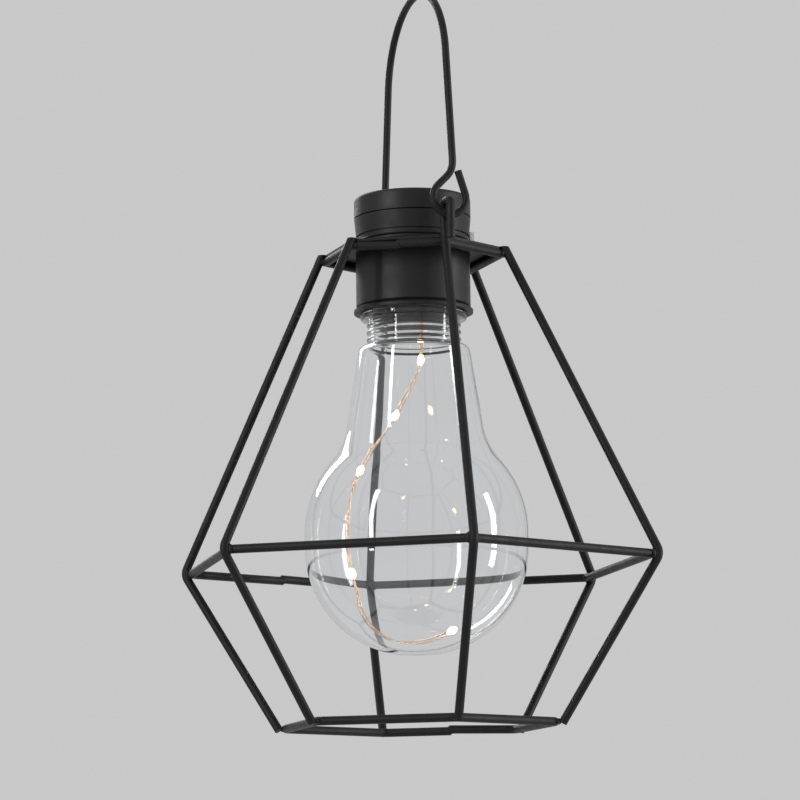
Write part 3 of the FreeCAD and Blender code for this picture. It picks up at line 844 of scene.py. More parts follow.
@dataclass(frozen=True)
class CircuitBoard(Finish):
    """Green lacquer over tracks, and the dark chip that stands out from the board."""

    name: str = "circuit_board"
    lacquer: Stops = ((0.4, (0.012, 0.10, 0.035)), (0.6, (0.05, 0.22, 0.085)))
    track_waves: float = 420.0
    track_edge: Span = (0.42, 0.48)
    track_depth: float = 0.03
    track_show: float = 0.5
    case: Stops = shades((0.012, 0.012, 0.013), (0.03, 0.03, 0.03))
    case_grain: Grain = Grain(900.0)
    case_edge: Span = (-18.21 * MM, -18.2 * MM)
    rough: Span = (0.3, 0.45)
    rough_grain: Grain = Grain(300.0)

    def paint(self, shader: Shader) -> None:
        """Fills in the board's shader.

        Args:
            shader: the shader that is filled in.
        """
        tracks = shader.share(shader.cells(self.track_waves), self.track_edge)
        lacquer = shader.tones(tracks, self.lacquer)
        case = shader.tones(shader.noise(self.case_grain), self.case)
        on_board = shader.share(shader.axis("X"), self.case_edge)
        shader.feed("Base Color", shader.over(on_board, case, lacquer))
        shader.feed("Roughness", shader.spread(shader.noise(self.rough_grain), *self.rough))
        shader.relief(tracks, self.track_depth, self.track_show)


@dataclass(frozen=True)
class CellJacket(Finish):
    """Plain grey jacket of a dry cell, with a pale band and a plated nub."""

    name: str = "plain_jacket"
    jacket: Stops = shades((0.09, 0.10, 0.12), (0.15, 0.16, 0.18))
    band: Stops = shades((0.42, 0.43, 0.44), (0.56, 0.57, 0.57))
    band_edge: Span = (205.0 * MM, 205.2 * MM)
    nub: Stops = shades((0.60, 0.60, 0.58), (0.75, 0.75, 0.73))
    nub_edge: Span = (211.85 * MM, 211.87 * MM)
    metallic: Span = (0.35, 1.0)
    scuff_grain: Grain = Grain(240.0, 4.0)
    rough: Span = (0.26, 0.42)

    def paint(self, shader: Shader) -> None:
        """Fills in the jacket's shader.

        Args:
            shader: the shader that is filled in.
        """
        height = shader.axis("Z")
        scuff = shader.noise(self.scuff_grain)
        jacket, band, nub = (
            shader.tones(scuff, stops) for stops in (self.jacket, self.band, self.nub))
        banded = shader.over(shader.share(height, self.band_edge), jacket, band)
        shader.feed("Base Color", shader.over(shader.share(height, self.nub_edge), banded, nub))
        shader.feed("Metallic", shader.spread(height, *self.metallic, *self.nub_edge))
        shader.feed("Roughness", shader.spread(scuff, *self.rough))


@dataclass(frozen=True)
class PaleFloor(Finish):
    """Plain matt floor, lifted to the ground's pale tone where it is seen."""

    name: str = "floor_pale"
    tone: Colour = (0.24, 0.24, 0.238)
    lift: Colour = (0.45, 0.45, 0.45)
    rough: float = 0.9

    def paint(self, shader: Shader) -> None:
        """Fills in the floor's shader.

        Args:
            shader: the shader that is filled in.
        """
        shader.fix(Base_Color=opaque(self.tone), Emission_Color=opaque(self.lift),
                   Roughness=self.rough, Specular_IOR_Level=0.0)
        shader.feed("Emission Strength", seen_rays(shader.material.node_tree))


WIRE_COAT = PowderCoat()
CAP_BLACK = Moulding("cap_black", shades((0.006, 0.006, 0.007), (0.0105, 0.0105, 0.012)),
                     relief_grain=Grain(1500.0), relief_depth=0.07, specular=0.34)
SWITCH_BLACK = Moulding("switch_black", shades((0.03, 0.03, 0.033), (0.055, 0.055, 0.06)),
                        rough=(0.3, 0.4))
KNOB_WHITE = Moulding("knob_white", shades((0.76, 0.75, 0.72), (0.86, 0.85, 0.82)),
                      rough=(0.32, 0.44))
CLEAR = ClearPlastic()
COPPER = PaleCopper()
LIT_RESIN = LampResin()
STEEL = PlatedSteel()
RUBBER = SoftRubber()
BOARD_GREEN = CircuitBoard()
JACKET = CellJacket()
FLOOR = PaleFloor()


# ---------------------------------------------------------------- the lantern


def packed(*names: str) -> list[Piece]:
    """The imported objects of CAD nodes."""
    return [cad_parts[name] for name in names]


def carry(piece: Piece, body: Body, slot: Slot, *stands_for: str) -> None:
    """Makes a new piece ride on a body, in place of CAD nodes where it has any.

    Args:
        piece: the new piece.
        body: the body that it moves with.
        slot: the record's slot that its finish belongs to; it is not used.
        stands_for: the CAD nodes that it replaces.
    """
    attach(piece, body.value)
    if stands_for:
        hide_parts(*stands_for)
    LOG.info("%s rides on %s, %d faces", piece.name, body.value, len(piece.data.polygons))


def polar(radius: float, angle_deg: float, z: float) -> Vector:
    """Point in millimetres at an angle that starts at -Y and turns towards +X."""
    angle = math.radians(angle_deg)
    return Vector((radius * math.sin(angle), -radius * math.cos(angle), z))


def upright_frame(origin: Vector) -> Matrix:
    """Place in metres with X along a ring, Y away from the lantern's axis and Z up.

    Args:
        origin: the place in millimetres, off the axis.

    Returns:
        The matrix of that place.
    """
    out = Vector((origin.x, origin.y, 0.0)).normalized()
    along = out.cross(UP)
    turn = Matrix((along, out, UP)).transposed()
    return Matrix.Translation(origin * MM) @ turn.to_4x4()


@dataclass
class Ring:
    """One hexagonal ring of bent wire, in millimetres, closed on the side after its seam corner."""

    radius: float
    turn_deg: float
    z: float
    seam: int
    step: float
    bead_height: float

    def corner(self, index: int, radius: float) -> Vector:
        """A point on the line from the axis to a corner."""
        return polar(radius, self.turn_deg + 360.0 / CORNERS * index, self.z)

    def weld_places(self, bend: float, reach: float) -> list[Matrix]:
        """Places between the ring's corners and the ribs that are welded to them.

        Args:
            bend: radius of the ring's corner bends.
            reach: distance from the ring's centre line to the weld.

        Returns:
            One place for each corner.
        """
        depth = bend / math.cos(math.pi / CORNERS) - bend
        at = self.radius - depth + reach
        return [upright_frame(self.corner(i, at)) for i in range(CORNERS)]

    def seam_place(self) -> Matrix:
        """Finds the place half way up the step between the ring's two butt welded ends.

        Returns:
            The place.
        """
        ends = [self.corner(self.seam + i, self.radius) for i in range(2)]
        middle = (ends[0] + ends[1]) / 2
        middle.z += self.step / 2
        return upright_frame(middle)


@dataclass
class Cage:
    """Welded wire cage with its top plate, in millimetres."""

    wire: float = 3.5
    ring_bend: float = 4.0
    weld_reach: float = 1.45
    bead_width: float = 3.1
    bead_depth: float = 1.35
    bead_unevenness: float = 0.09
    seam_length: float = 2.2
    seam_sides: int = 16
    seam_swell: tuple[Span, ...] = (
        (-0.6, 1.0), (-0.22, 1.09), (0.0, 1.04), (0.25, 1.1), (0.64, 1.0))
    seam_ends: Span = (0.86, 0.8)
    seam_uneven_share: float = 0.5
    seam_unevenness: float = 0.07
    rings: tuple[Ring, ...] = (
        Ring(radius=56.4, turn_deg=-4.5, z=1.75, seam=2, step=0.7, bead_height=1.4),
        Ring(radius=97.9, turn_deg=-7.0, z=66.75, seam=3, step=0.7, bead_height=2.9),
        Ring(radius=36.6, turn_deg=0.0, z=192.65, seam=5, step=-0.7, bead_height=1.7),
    )
    coated: tuple[str, ...] = (
        "base_ring", "waist_ring", "top_ring", "top_plate", "rib_front", "rib_front_right",
        "rib_rear_right", "rib_rear", "rib_rear_left", "rib_front_left",
    )

    def bead(self, name: str, height: float) -> Piece:
        """Models one painted weld bead, flattened and uneven, at the origin.

        Args:
            name: the bead's name.
            height: half its height.

        Returns:
            The bead.
        """
        Bench.clear()
        bpy.ops.mesh.primitive_ico_sphere_add(subdivisions=2, radius=MM)
        piece = Bench.added(name)
        with Bench.editing(piece):
            bpy.ops.mesh.select_all(action="SELECT")
            bpy.ops.transform.vertex_random(
                offset=self.bead_unevenness * MM, uniform=0.2, normal=0.8, seed=3)
            bpy.ops.transform.resize(value=(self.bead_width, self.bead_depth, height))
        Bench.subdivide(piece, levels=1)
        Bench.smooth(piece, Crease.SOFT)
        return piece

    def welds(self) -> Piece:
        """Models the beads where the ribs are welded to the rings.

        Returns:
            All the beads as one piece.
        """
        made = []
        for number, ring in enumerate(self.rings):
            bead = self.bead("bead_%d" % number, ring.bead_height)
            made.append(Bench.copies(bead, ring.weld_places(self.ring_bend, self.weld_reach)))
        return Bench.joined(made, "rib_welds")

    def seams(self) -> Piece:
        """Models the flash of the butt welds that close the rings.

        Returns:
            The three welds as one piece.
        """
        Bench.clear()
        half = self.seam_length / 2 * MM
        bpy.ops.mesh.primitive_cylinder_add(
            vertices=self.seam_sides, radius=self.wire / 2 * MM, depth=2 * half,
            rotation=(0, math.pi / 2, 0))
        piece = Bench.added("ring_seams")
        Bench.settle(piece)
        with Bench.editing(piece):
            Bench.slices([half * share for share, _ in self.seam_swell], Vector((1, 0, 0)))
            for share, size in self.seam_swell:
                Bench.pick(piece, Pick.VERT, lambda v: abs(v.co.x - half * share) < NEAR)
                bpy.ops.transform.resize(value=(1, size, size))
            Bench.pick(piece, Pick.VERT, lambda v: abs(abs(v.co.x) - half) < NEAR)
            bpy.ops.transform.resize(value=(1, *self.seam_ends))
            Bench.pick(piece, Pick.VERT, lambda v: abs(v.co.x) < self.seam_uneven_share * half)
            bpy.ops.transform.vertex_random(
                offset=self.seam_unevenness * MM, uniform=0.0, normal=1.0, seed=5)
        Bench.subdivide(piece, levels=2)
        Bench.smooth(piece, Crease.SOFT)
        return Bench.copies(piece, [ring.seam_place() for ring in self.rings])

    def build(self) -> None:
        """Models the welds and dresses the cage."""
        for piece in (self.welds(), self.seams()):
            WIRE_COAT.dress(piece)
            carry(piece, Body.CAGE, Slot.WIRE)
        WIRE_COAT.dress(*packed(*self.coated))


@dataclass
class Bail:
    """Bail of one bent wire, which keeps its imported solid."""

    coated: tuple[str, ...] = ("bail",)

    def build(self) -> None:
        """Dresses the bail."""
        WIRE_COAT.dress(*packed(*self.coated))


@dataclass
class Bottle:
    """Clear bulb-shaped bottle with a screw neck, in millimetres.

    An edge is the radius of a rounded outer corner, and a root that of an inner one.
    """

    wall: float = 1.2
    lip_z: float = 187.8
    lip_edge: float = 0.4
    thread_radius: float = 19.2
    bead_radius: float = 21.8
    bead_top: float = 169.3
    bead_bottom: float = 166.8
    bead_edge: float = 0.8
    bead_top_root: float = 0.3
    bead_bottom_root: float = 0.4
    neck_radius: float = 18.7
    ring_peak: float = 0.95
    ring_width: float = 2.0
    ring_middles: tuple[float, ...] = (164.5, 161.5, 158.5)
    ring_edge: float = 0.9
    ring_root: float = 0.25
    shoulder_z: float = 156.2
    shoulder_radius: float = 22.6
    shoulder_edge: float = 3.6
    cone_foot: float = 27.6
    cone_height: float = 32.2
    flare: float = 28.0
    globe: float = 45.4
    globe_z: float = 79.0
    foot_radius: float = 1.8
    base_z: float = 29.8
    steps: int = 144
    thread_z: float = 172.2
    thread_turns: float = 2.5
    thread_lead: float = 3.0
    thread_height: float = 0.42
    thread_sunk: float = 0.15
    thread_width: float = 1.3
    thread_crest_share: float = 0.3
    thread_steps: int = 150

    def body(self, inset: float) -> list[Vector]:
        """Outline of the body from the neck to the axis, moved in by an inset.

        Args:
            inset: 0 for the outside, and the wall's thickness for the inside.

        Returns:
            The outline's points.
        """
        slope = Vector((self.cone_foot - self.shoulder_radius, -self.cone_height)).normalized()
        outward = Vector((-slope.y, slope.x))
        cone_top = Vector((self.shoulder_radius, self.shoulder_z)) - outward * inset
        middle = Vector((0.0, self.globe_z))
        offset = cone_top + outward * (self.flare + inset) - middle
        along = offset.dot(slope)
        reach = (self.globe + self.flare) ** 2 - offset.length ** 2
        distance = -along - math.sqrt(along ** 2 + reach)
        flare_centre = middle + offset + slope * distance
        cone_end = cone_top + slope * distance
        join = middle + (flare_centre - middle).normalized() * (self.globe - inset)
        start = Vector((self.neck_radius - inset, self.shoulder_z - inset))
        corner = cone_top + slope * ((start.y - cone_top.y) / slope.y)
        points = Outline.rounded([start, corner, cone_end], [0, self.shoulder_edge - inset, 0])
        points += Outline.arc(flare_centre, cone_end, join)[1:]
        points += Outline.arc(middle, join, Vector((self.globe - inset, self.globe_z)))[1:]
        return points + self.bowl(inset)

    def bowl(self, inset: float) -> list[Vector]:
        """Outline below the widest place, down to the base and the axis.

        Args:
            inset: 0 for the outside, and the wall's thickness for the inside.

        Returns:
            The outline's points.
        """
        radius = self.globe - self.foot_radius
        middle = Vector((self.foot_radius, self.base_z + radius))
        start = Vector((self.globe - inset, middle.y))
        foot = Vector((self.foot_radius, self.base_z + inset))
        return Outline.arc(middle, start, foot) + [Vector((0.0, foot.y))]

    def neck(self) -> list[Vector]:
        """Outline of the neck's outside, from its lip to the shoulder.

        Returns:
            The outline's points.
        """
        corners = [
            (self.thread_radius - self.wall / 2, self.lip_z, 0.0),
            (self.thread_radius, self.lip_z, self.lip_edge),
            (self.thread_radius, self.bead_top, self.bead_top_root),
            (self.bead_radius, self.bead_top, self.bead_edge),
            (self.bead_radius, self.bead_bottom, self.bead_edge),
            (self.neck_radius, self.bead_bottom, self.bead_bottom_root),
        ]
        for middle in self.ring_middles:
            corners += [
                (self.neck_radius, middle + self.ring_width / 2, self.ring_root),
                (self.neck_radius + self.ring_peak, middle, self.ring_edge),
                (self.neck_radius, middle - self.ring_width / 2, self.ring_root),
            ]
        corners.append((*self.body(0)[0], 0.0))
        points = [Vector((radius, z)) for radius, z, _ in corners]
        return Outline.rounded(points, [rounding for _, _, rounding in corners])

    def shell(self) -> Piece:
        """Models the shell of even wall from its lip to its rounded base.

        Returns:
            The shell.
        """
        bore = self.neck_radius - self.wall
        outside = self.neck() + self.body(0)[1:]
        inside = [Vector((bore, self.lip_z)), *self.body(self.wall)]
        piece = Bench.lathe("clear_bulb", outside[::-1] + inside, self.steps)
        Bench.smooth(piece, Crease.TURNED)
        return piece

    def thread(self) -> Piece:
        """Models the raised right-handed thread of the neck.

        Returns:
            The thread.
        """
        root = self.thread_radius - self.thread_sunk
        crest = self.thread_radius + self.thread_height
        half = self.thread_width / 2
        flat = half * self.thread_crest_share
        Bench.clear()
        bpy.ops.mesh.primitive_plane_add(size=MM)
        piece = Bench.added("neck_thread")
        with Bench.editing(piece):
            bpy.ops.mesh.select_all(action="SELECT")
            bpy.ops.mesh.delete(type="ONLY_FACE")
        # A new plane's vertices run along its two sides, and not round it.
        corners = [(root, -half), (crest, -flat), (root, half), (crest, flat)]
        for vertex, (radius, rise) in zip(piece.data.vertices, corners):
            vertex.co = Vector((radius, 0.0, self.thread_z + rise)) * MM
        climb = self.thread_lead * self.thread_turns * MM
        Bench.wind(piece, self.thread_turns, climb, self.thread_steps)
        Bench.close_ends(piece)
        Bench.smooth(piece, Crease.TURNED)
        return piece

    def build(self) -> None:
        """Models and dresses the bottle."""
        shell = Bench.joined([self.shell(), self.thread()], "clear_bulb")
        CLEAR.dress(shell)
        carry(shell, Body.BOTTLE, Slot.CLEAR, "bulb")
        RUBBER.dress(*packed("neck_gasket"))


@dataclass
class LampString:
    """Copper lamp wire of two strands with sealed lamps on it, in millimetres."""

    exit_z: float = 162.7
    strand: float = 0.65
    gap: float = 1.15
    twist: float = 62.0
    twist_from: float = 0.3
    length: float = 169.6
    line_steps: int = 16
    lamp_radius: float = 1.4
    lamp_half: float = 2.6
    lamp_sides: int = 16
    lamp_outline: tuple[Span, ...] = (
        (0.0, -1.0), (0.24, -0.97), (0.42, -0.82), (0.70, -0.58), (0.92, -0.28), (1.0, 0.0),
        (0.94, 0.26), (0.74, 0.55), (0.45, 0.80), (0.25, 0.97), (0.0, 1.0),
    )
    route: tuple[Triple, ...] = (
        (2.0, -3.8, 0.0), (2.0, -3.8, 8.6), (1.1, -3.3, 17.5), (-4.4, -0.7, 28.3),
        (-11.8, 3.9, 43.3), (-18.6, 7.3, 52.3), (-23.8, 9.3, 62.9), (-26.9, 9.1, 78.7),
        (-26.8, 8.2, 91.7), (-23.5, 6.9, 106.7), (-21.8, 6.3, 115.7), (-17.5, 4.4, 122.4),
        (-11.4, 0.8, 127.1), (-4.3, -6.4, 128.3), (2.2, -15.0, 127.3), (6.9, -20.6, 124.1),
    )
    lamp_at: tuple[Triple, ...] = (
        (1.55, -3.55, 149.65), (-8.1, 1.6, 126.9), (-21.2, 8.3, 105.1), (-25.15, 7.55, 63.5),
        (6.9, -20.6, 38.6),
    )

    def line(self) -> list[Vector]:
        """Reads the smooth line that the strands follow from the route's spline.

        Returns:
            The line's points, in metres.
        """
        curve = bpy.data.curves.new("lamp_route", "CURVE")
        curve.dimensions = "3D"
        curve.resolution_u = self.line_steps
        spline = curve.splines.new("NURBS")
        spline.points.add(len(self.route) - 1)
        for point, (x, y, drop) in zip(spline.points, self.route):
            point.co = (x * MM, y * MM, (self.exit_z - drop) * MM, 1.0)
        spline.order_u = 3
        spline.use_endpoint_u = True
        bare = bpy.data.objects.new("lamp_route", curve)
        mesh = bpy.data.meshes.new_from_object(bare)
        points = [vertex.co.copy() for vertex in mesh.vertices]
        bpy.data.meshes.remove(mesh)
        bpy.data.objects.remove(bare)
        bpy.data.curves.remove(curve)
        return points

    @staticmethod
    def headings(points: Sequence[Vector]) -> list[Vector]:
        """Direction of the line at each of its points."""
        ends = zip([points[0], *points[:-1]], [*points[1:], points[-1]])
        return [(after - before).normalized() for before, after in ends]

    @staticmethod
    def sides(headings: Sequence[Vector]) -> list[Vector]:
        """Carries a direction across the line along it, with no twist of its own.

        Args:
            headings: the line's direction at each point.

        Returns:
            The direction across it at each point.
        """
        side = Vector((1.0, 0.0, 0.0))
        made = []
        for heading in headings:
            side = (side - heading * side.dot(heading)).normalized()
            made.append(side.copy())
        return made

    def turns(self, points: Sequence[Vector]) -> list[float]:
        """Works out how far the pair of strands has twisted along the line.

        Args:
            points: the line.

        Returns:
            The twist at each point, in radians.
        """
        run = 0.0
        made = []
        for before, here in zip([points[0], *points], points):
            run += (here - before).length
            made.append(self.twist_from + FULL_TURN * run / (self.twist * MM))
        return made

    def strand_tube(self, name: str, points: Sequence[Vector]) -> Piece:
        """Models one strand as a mesh tube.

        Args:
            name: the strand's name.
            points: the line that it follows.

        Returns:
            The tube.
        """
        curve = bpy.data.curves.new(name, "CURVE")
        curve.dimensions = "3D"
        curve.bevel_depth = self.strand / 2 * MM
        curve.bevel_resolution = 2
        curve.use_fill_caps = True
        spline = curve.splines.new("POLY")
        spline.points.add(len(points) - 1)
        for point, place in zip(spline.points, points):
            point.co = (*place, 1.0)
        piece = bpy.data.objects.new(name, curve)
        bpy.context.scene.collection.objects.link(piece)
        Bench.only(piece)
        bpy.ops.object.convert(target="MESH")
        return Bench.added(name)

    def wire(self, points: Sequence[Vector]) -> Piece:
        """Models the two strands, which lie side by side in a long loose twist.

        Args:
            points: the line between them.

        Returns:
            Both strands as one piece.
        """
        headings = self.headings(points)
        across = [Quaternion(heading, turn) @ side for heading, side, turn
                  in zip(headings, self.sides(headings), self.turns(points))]
        half = self.gap / 2 * MM
        strands = []
        for number, way in enumerate((-1, 1)):
            run = [point + side * (way * half) for point, side in zip(points, across)]
            strands.append(self.strand_tube("strand_%d" % number, run))
        piece = Bench.joined(strands, "lamp_string")
        with Bench.editing(piece):
            Bench.tidy()
        Bench.smooth(piece, Crease.SOFT)
        return piece

    def drop(self) -> Piece:
        """Models one resin drop about Z, with its glow kept on its points.

        Returns:
            The drop.
        """
        outline = [Vector((radius * self.lamp_radius, z * self.lamp_half))
                   for radius, z in self.lamp_outline]
        piece = Bench.lathe("lamp_drops", outline, self.lamp_sides)
        Bench.subdivide(piece, levels=2)
        Bench.smooth(piece, Crease.ROUND)
        glow = piece.data.attributes.new(GLOW, "FLOAT", "POINT")
        for vertex, value in zip(piece.data.vertices, glow.data):
            value.value = 1.0 - abs(vertex.co.z) / (self.lamp_half * MM)
        return piece

    def lamp_places(self, points: Sequence[Vector]) -> list[Matrix]:
        """Finds the lamps' places on the line, each turned along it.

        Args:
            points: the line.

        Returns:
            One place for each lamp.
        """
        headings = self.headings(points)
        places = []
        for lamp in self.lamp_at:
            near = min(range(len(points)), key=lambda i: (points[i] - Vector(lamp) * MM).length)
            turn = headings[near].to_track_quat("Z", "Y").to_matrix().to_4x4()
            places.append(Matrix.Translation(points[near]) @ turn)
        return places

    def build(self) -> None:
        points = self.line()
        drops = Bench.copies(self.drop(), self.lamp_places(points))
        LIT_RESIN.dress(drops)
        carry(drops, Body.CAGE, Slot.LAMP, "lamps")
        wire = self.wire(points)
        COPPER.dress(wire)
        carry(wire, Body.CAGE, Slot.COPPER, "lamp_wire")


@dataclass
class Cap:
    """Battery cap with its sleeve, lid and switch, in millimetres."""

    knob_face: float = 23.8
    knob_depth: float = 2.6
    knob_width: float = 4.0
    knob_height: float = 4.4
    knob_edge: float = 0.22
    knob_y: float = -1.25
    knob_z: float = 202.2
    stem_from: float = 19.15
    stem_width: float = 2.6
    stem_height: float = 2.4
    stem_edge: float = 0.15
    stem_sunk: float = 0.1
    ridge_count: int = 3
    ridge_height: float = 0.35
    mouldings: tuple[str, ...] = ("battery_housing", "battery_lid", "socket_sleeve", "cell_cradle")

    def knob(self) -> Piece:
        """Models the slide knob with thumb ridges and its stem.

        Returns:
            The knob.
        """
        depth = self.knob_depth - self.ridge_height
        piece = Bench.block("slide_knob", (depth, self.knob_width, self.knob_height),
                            (self.knob_face + depth / 2, self.knob_y, self.knob_z))
        outer = (self.knob_face + depth) * MM
        strips = 2 * self.ridge_count + 1
        pitch = self.knob_width / strips
        first = self.knob_y - self.knob_width / 2
        with Bench.editing(piece):
            Bench.slices([(first + pitch * i) * MM for i in range(1, strips)], Vector((0, 1, 0)))
            for i in range(1, strips, 2):
                start, end = (first + pitch * i) * MM, (first + pitch * (i + 1)) * MM
                Bench.pick(piece, Pick.FACE, lambda f: start < f.calc_center_median().y < end
                           and f.calc_center_median().x > outer - NEAR)
                Bench.pull(Vector((self.ridge_height * MM, 0, 0)))
        Bench.bevel(piece, self.knob_edge * MM, segments=3)
        stem = self.stem()
        Bench.smooth(piece, Crease.EDGED)
        return Bench.joined([piece, stem], "slide_knob")

    def stem(self) -> Piece:
        """Models the knob's stem, which reaches into the switch.

        Returns:
            The stem.
        """
        length = self.knob_face - self.stem_from + self.stem_sunk
        piece = Bench.block("knob_stem", (length, self.stem_width, self.stem_height),
                            (self.stem_from + length / 2, self.knob_y, self.knob_z))
        Bench.bevel(piece, self.stem_edge * MM, segments=2)
        Bench.smooth(piece, Crease.EDGED)
        return piece

    def build(self) -> None:
        """Models the knob and dresses the cap's mouldings."""
        CAP_BLACK.dress(*packed(*self.mouldings))
        SWITCH_BLACK.dress(*packed("switch_body"))
        knob = self.knob()
        KNOB_WHITE.dress(knob)
        carry(knob, Body.KNOB, Slot.KNOB, "switch_knob")
        RUBBER.dress(*packed("lid_seal", "wire_grommet"))


@dataclass
class Works:
    """Cells, contacts, board and screws inside the cap, in millimetres."""

    count: int = 3
    cell_ring: float = 9.4
    spring_z: float = 166.2
    spring_height: float = 2.2
    spring_foot: float = 3.6
    spring_tip: float = 1.8
    spring_wire: float = 0.45
    spring_turns: float = 2.5
    spring_sides: int = 8
    spring_steps: int = 72
    screw_ring: float = 18.9
    screw_tip: float = 191.4
    screw_seat: float = 197.4
    screw_sides: int = 32
    tip_radius: float = 0.5
    tip_height: float = 0.8
    shank_radius: float = 1.1
    head_radius: float = 1.8
    head_height: float = 1.6
    head_edge: float = 0.7
    recess: Triple = (1.9, 0.5, 1.6)
    cells: tuple[str, ...] = ("battery_cell_1", "battery_cell_2", "battery_cell_3")

    def spots(self, radius: float) -> list[Matrix]:
        """Upright places evenly spaced about the axis."""
        angles = [360.0 * i / self.count for i in range(self.count)]
        return [Matrix.Translation(polar(radius, angle, 0.0) * MM) for angle in angles]

    def springs(self) -> Piece:
        """Models the coiled contact springs under the cells, wide at the foot.

        Returns:
            The three springs as one piece.
        """
        half = self.spring_wire / 2
        Bench.clear()
        bpy.ops.mesh.primitive_circle_add(
            vertices=self.spring_sides, radius=half * MM, rotation=(math.pi / 2, 0, 0),
            location=Vector((self.spring_foot - half, 0, half)) * MM)
        piece = Bench.added("contact_coils")
        Bench.settle(piece)
        rise = self.spring_height - self.spring_wire
        Bench.wind(piece, self.spring_turns, rise * MM, self.spring_steps)
        for vertex in piece.data.vertices:
            up = max(0.0, min(1.0, (vertex.co.z / MM - half) / rise))
            flat = Vector((vertex.co.x, vertex.co.y, 0.0))
            draw = (self.spring_foot - self.spring_tip) * up * MM
            vertex.co -= flat.normalized() * draw
        Bench.close_ends(piece)
        Bench.smooth(piece, Crease.COILED)
        lift = Matrix.Translation((0, 0, self.spring_z * MM))
        return Bench.copies(piece, [lift @ spot for spot in self.spots(self.cell_ring)])

    def screws(self) -> Piece:
        """Models the pan head screws with their cross recesses.

        Returns:
            The three screws as one piece.
        """
        head = self.screw_seat + self.head_height
        corners = (
            (0, self.screw_tip, 0), (self.tip_radius, self.screw_tip, 0),
            (self.shank_radius, self.screw_tip + self.tip_height, 0),
            (self.shank_radius, self.screw_seat, 0), (self.head_radius, self.screw_seat, 0),
            (self.head_radius, head, self.head_edge), (0, head, 0))
        points = [Vector((radius, z)) for radius, z, _ in corners]
        outline = Outline.rounded(points, [rounding for _, _, rounding in corners])
        piece = Bench.lathe("cap_screws", outline, self.screw_sides)
        for turn in (0.0, math.pi / 2):
            cutter = Bench.block("recess", self.recess, (0, 0, head), turn)
            cut = piece.modifiers.new("recess", "BOOLEAN")
            cut.operation = "DIFFERENCE"
            cut.solver = "EXACT"
            cut.object = cutter
            Bench.finish_modifiers(piece)
            bpy.data.objects.remove(cutter)
        Bench.smooth(piece, Crease.EDGED)
        return Bench.copies(piece, self.spots(self.screw_ring))

    def build(self) -> None:
        """Models the springs and screws, and dresses what is inside the cap."""
        coils = self.springs()
        screws = self.screws()
        STEEL.dress(coils, screws, *packed("lid_contact_plate"))
        carry(coils, Body.CAGE, Slot.STEEL, "contact_springs")
        carry(screws, Body.CAGE, Slot.STEEL, "clamp_screws")
        JACKET.dress(*packed(*self.cells))
        BOARD_GREEN.dress(*packed("control_board"))


# ---------------------------------------------------------------- studio


def placed(name: str, data: bpy.types.ID, place: Vector, look: Vector) -> bpy.types.Object:
    """Puts a lamp or a camera in the scene.

    Args:
        name: the object's name.
        data: the lamp or camera.
        place: where it stands, in metres.
        look: the direction that it faces.

    Returns:
        The object.
    """
    made = bpy.data.objects.new(name, data)
    made.location = place
    made.rotation_mode = "QUATERNION"
    made.rotation_quaternion = look.to_track_quat("-Z", "Y")
    bpy.context.scene.collection.objects.link(made)
    return made


@dataclass
class Lamp:
    """Soft area lamp of the studio, in metres and watts."""

    name: str
    place: Triple
    width: float
    height: float
    power: float

    def hang(self, aim: Vector) -> None:
        """Hangs the lamp so that it faces a point.

        Args:
            aim: the point, in metres.
        """
        data = bpy.data.lights.new(self.name, "AREA")
        data.shape = "RECTANGLE"
        data.size = self.width
        data.size_y = self.height
        data.energy = self.power
        place = Vector(self.place)
        placed(self.name, data, place, aim - place).visible_camera = False


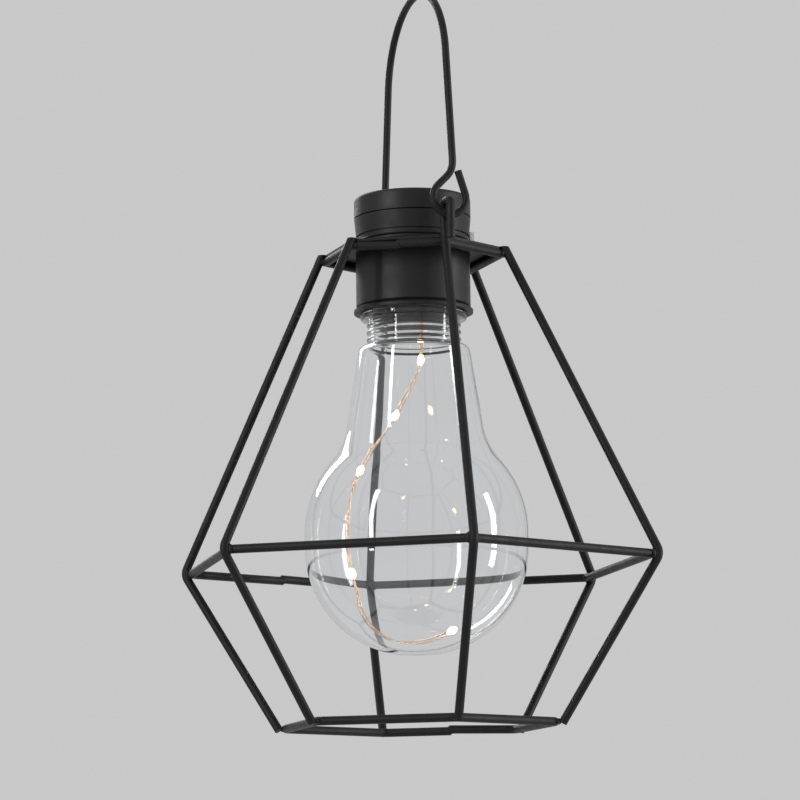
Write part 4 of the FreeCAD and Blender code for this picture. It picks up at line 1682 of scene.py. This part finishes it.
@dataclass
class Studio:
    """Pale floor, soft lamps and the camera that looks up at the hanging lantern.

    The camera's target and distance are in millimetres, and the floor and the lamps in metres.
    """

    target: Triple = (-5.70, 1.97, 133.96)
    towards: Triple = (-0.3235, -0.9342, -0.1501)
    distance: float = 1372.4
    roll: float = -0.0131
    lens: float = 151.6
    sensor: float = 36.0
    clip: Span = (0.01, 50.0)
    floor_z: float = -0.75
    floor_size: float = 16.0
    sky_light: float = 0.5
    sky_seen: Colour = (0.58, 0.58, 0.58)
    aim: Triple = (0.0, 0.0, 0.13)
    lamps: tuple[Lamp, ...] = (
        Lamp("key", (1.7, -0.75, 0.3), width=0.2, height=1.6, power=18.0),
        Lamp("fill", (-1.7, -0.75, 0.6), width=0.16, height=1.6, power=14.0),
        Lamp("back", (-0.4, 1.7, 1.2), width=0.3, height=1.1, power=12.0),
    )

    def camera(self) -> None:
        """Places the camera at the photograph's viewing angle."""
        data = bpy.data.cameras.new("photo_view")
        data.sensor_width = self.sensor
        data.lens = self.lens
        data.clip_start, data.clip_end = self.clip
        towards = Vector(self.towards).normalized()
        place = (Vector(self.target) + towards * self.distance) * MM
        camera = placed("photo_view", data, place, -towards)
        camera.rotation_quaternion @= Quaternion(UP, self.roll)
        bpy.context.scene.camera = camera

    def sky(self) -> None:
        """Lights the lantern evenly, and shows a pale ground behind it and in its gloss."""
        world = bpy.data.worlds.new("studio")
        world.use_nodes = True
        nodes, links = world.node_tree.nodes, world.node_tree.links
        light = next(n for n in nodes if n.type == "BACKGROUND")
        light.inputs["Color"].default_value = (1.0, 1.0, 1.0, 1.0)
        light.inputs["Strength"].default_value = self.sky_light
        seen = nodes.new("ShaderNodeBackground")
        seen.inputs["Color"].default_value = opaque(self.sky_seen)
        mix = nodes.new("ShaderNodeMixShader")
        links.new(seen_rays(world.node_tree), mix.inputs["Fac"])
        links.new(light.outputs[0], mix.inputs[1])
        links.new(seen.outputs[0], mix.inputs[2])
        out = next(n for n in nodes if n.type == "OUTPUT_WORLD")
        links.new(mix.outputs[0], out.inputs["Surface"])
        bpy.context.scene.world = world

    def floor(self) -> None:
        """Lays the plain pale floor."""
        Bench.clear()
        bpy.ops.mesh.primitive_plane_add(size=self.floor_size, location=(0, 0, self.floor_z))
        floor = Bench.added("floor")
        Bench.settle(floor)
        FLOOR.dress(floor)

    def build(self) -> None:
        """Sets up the studio."""
        bpy.context.scene.view_settings.view_transform = "Standard"
        self.camera()
        self.sky()
        self.floor()
        for lamp in self.lamps:
            lamp.hang(Vector(self.aim))


def main() -> None:
    """Builds and dresses the lantern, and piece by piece."""
    logging.basicConfig(level=logging.INFO, format="%(name)s: %(message)s")
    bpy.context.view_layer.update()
    for part in (Studio(), LampString(), Cage(), Bail(), Bottle(), Cap(), Works()):
        part.build()
        LOG.info("%s done", type(part).__name__)


if __name__ == "__main__":
    main()
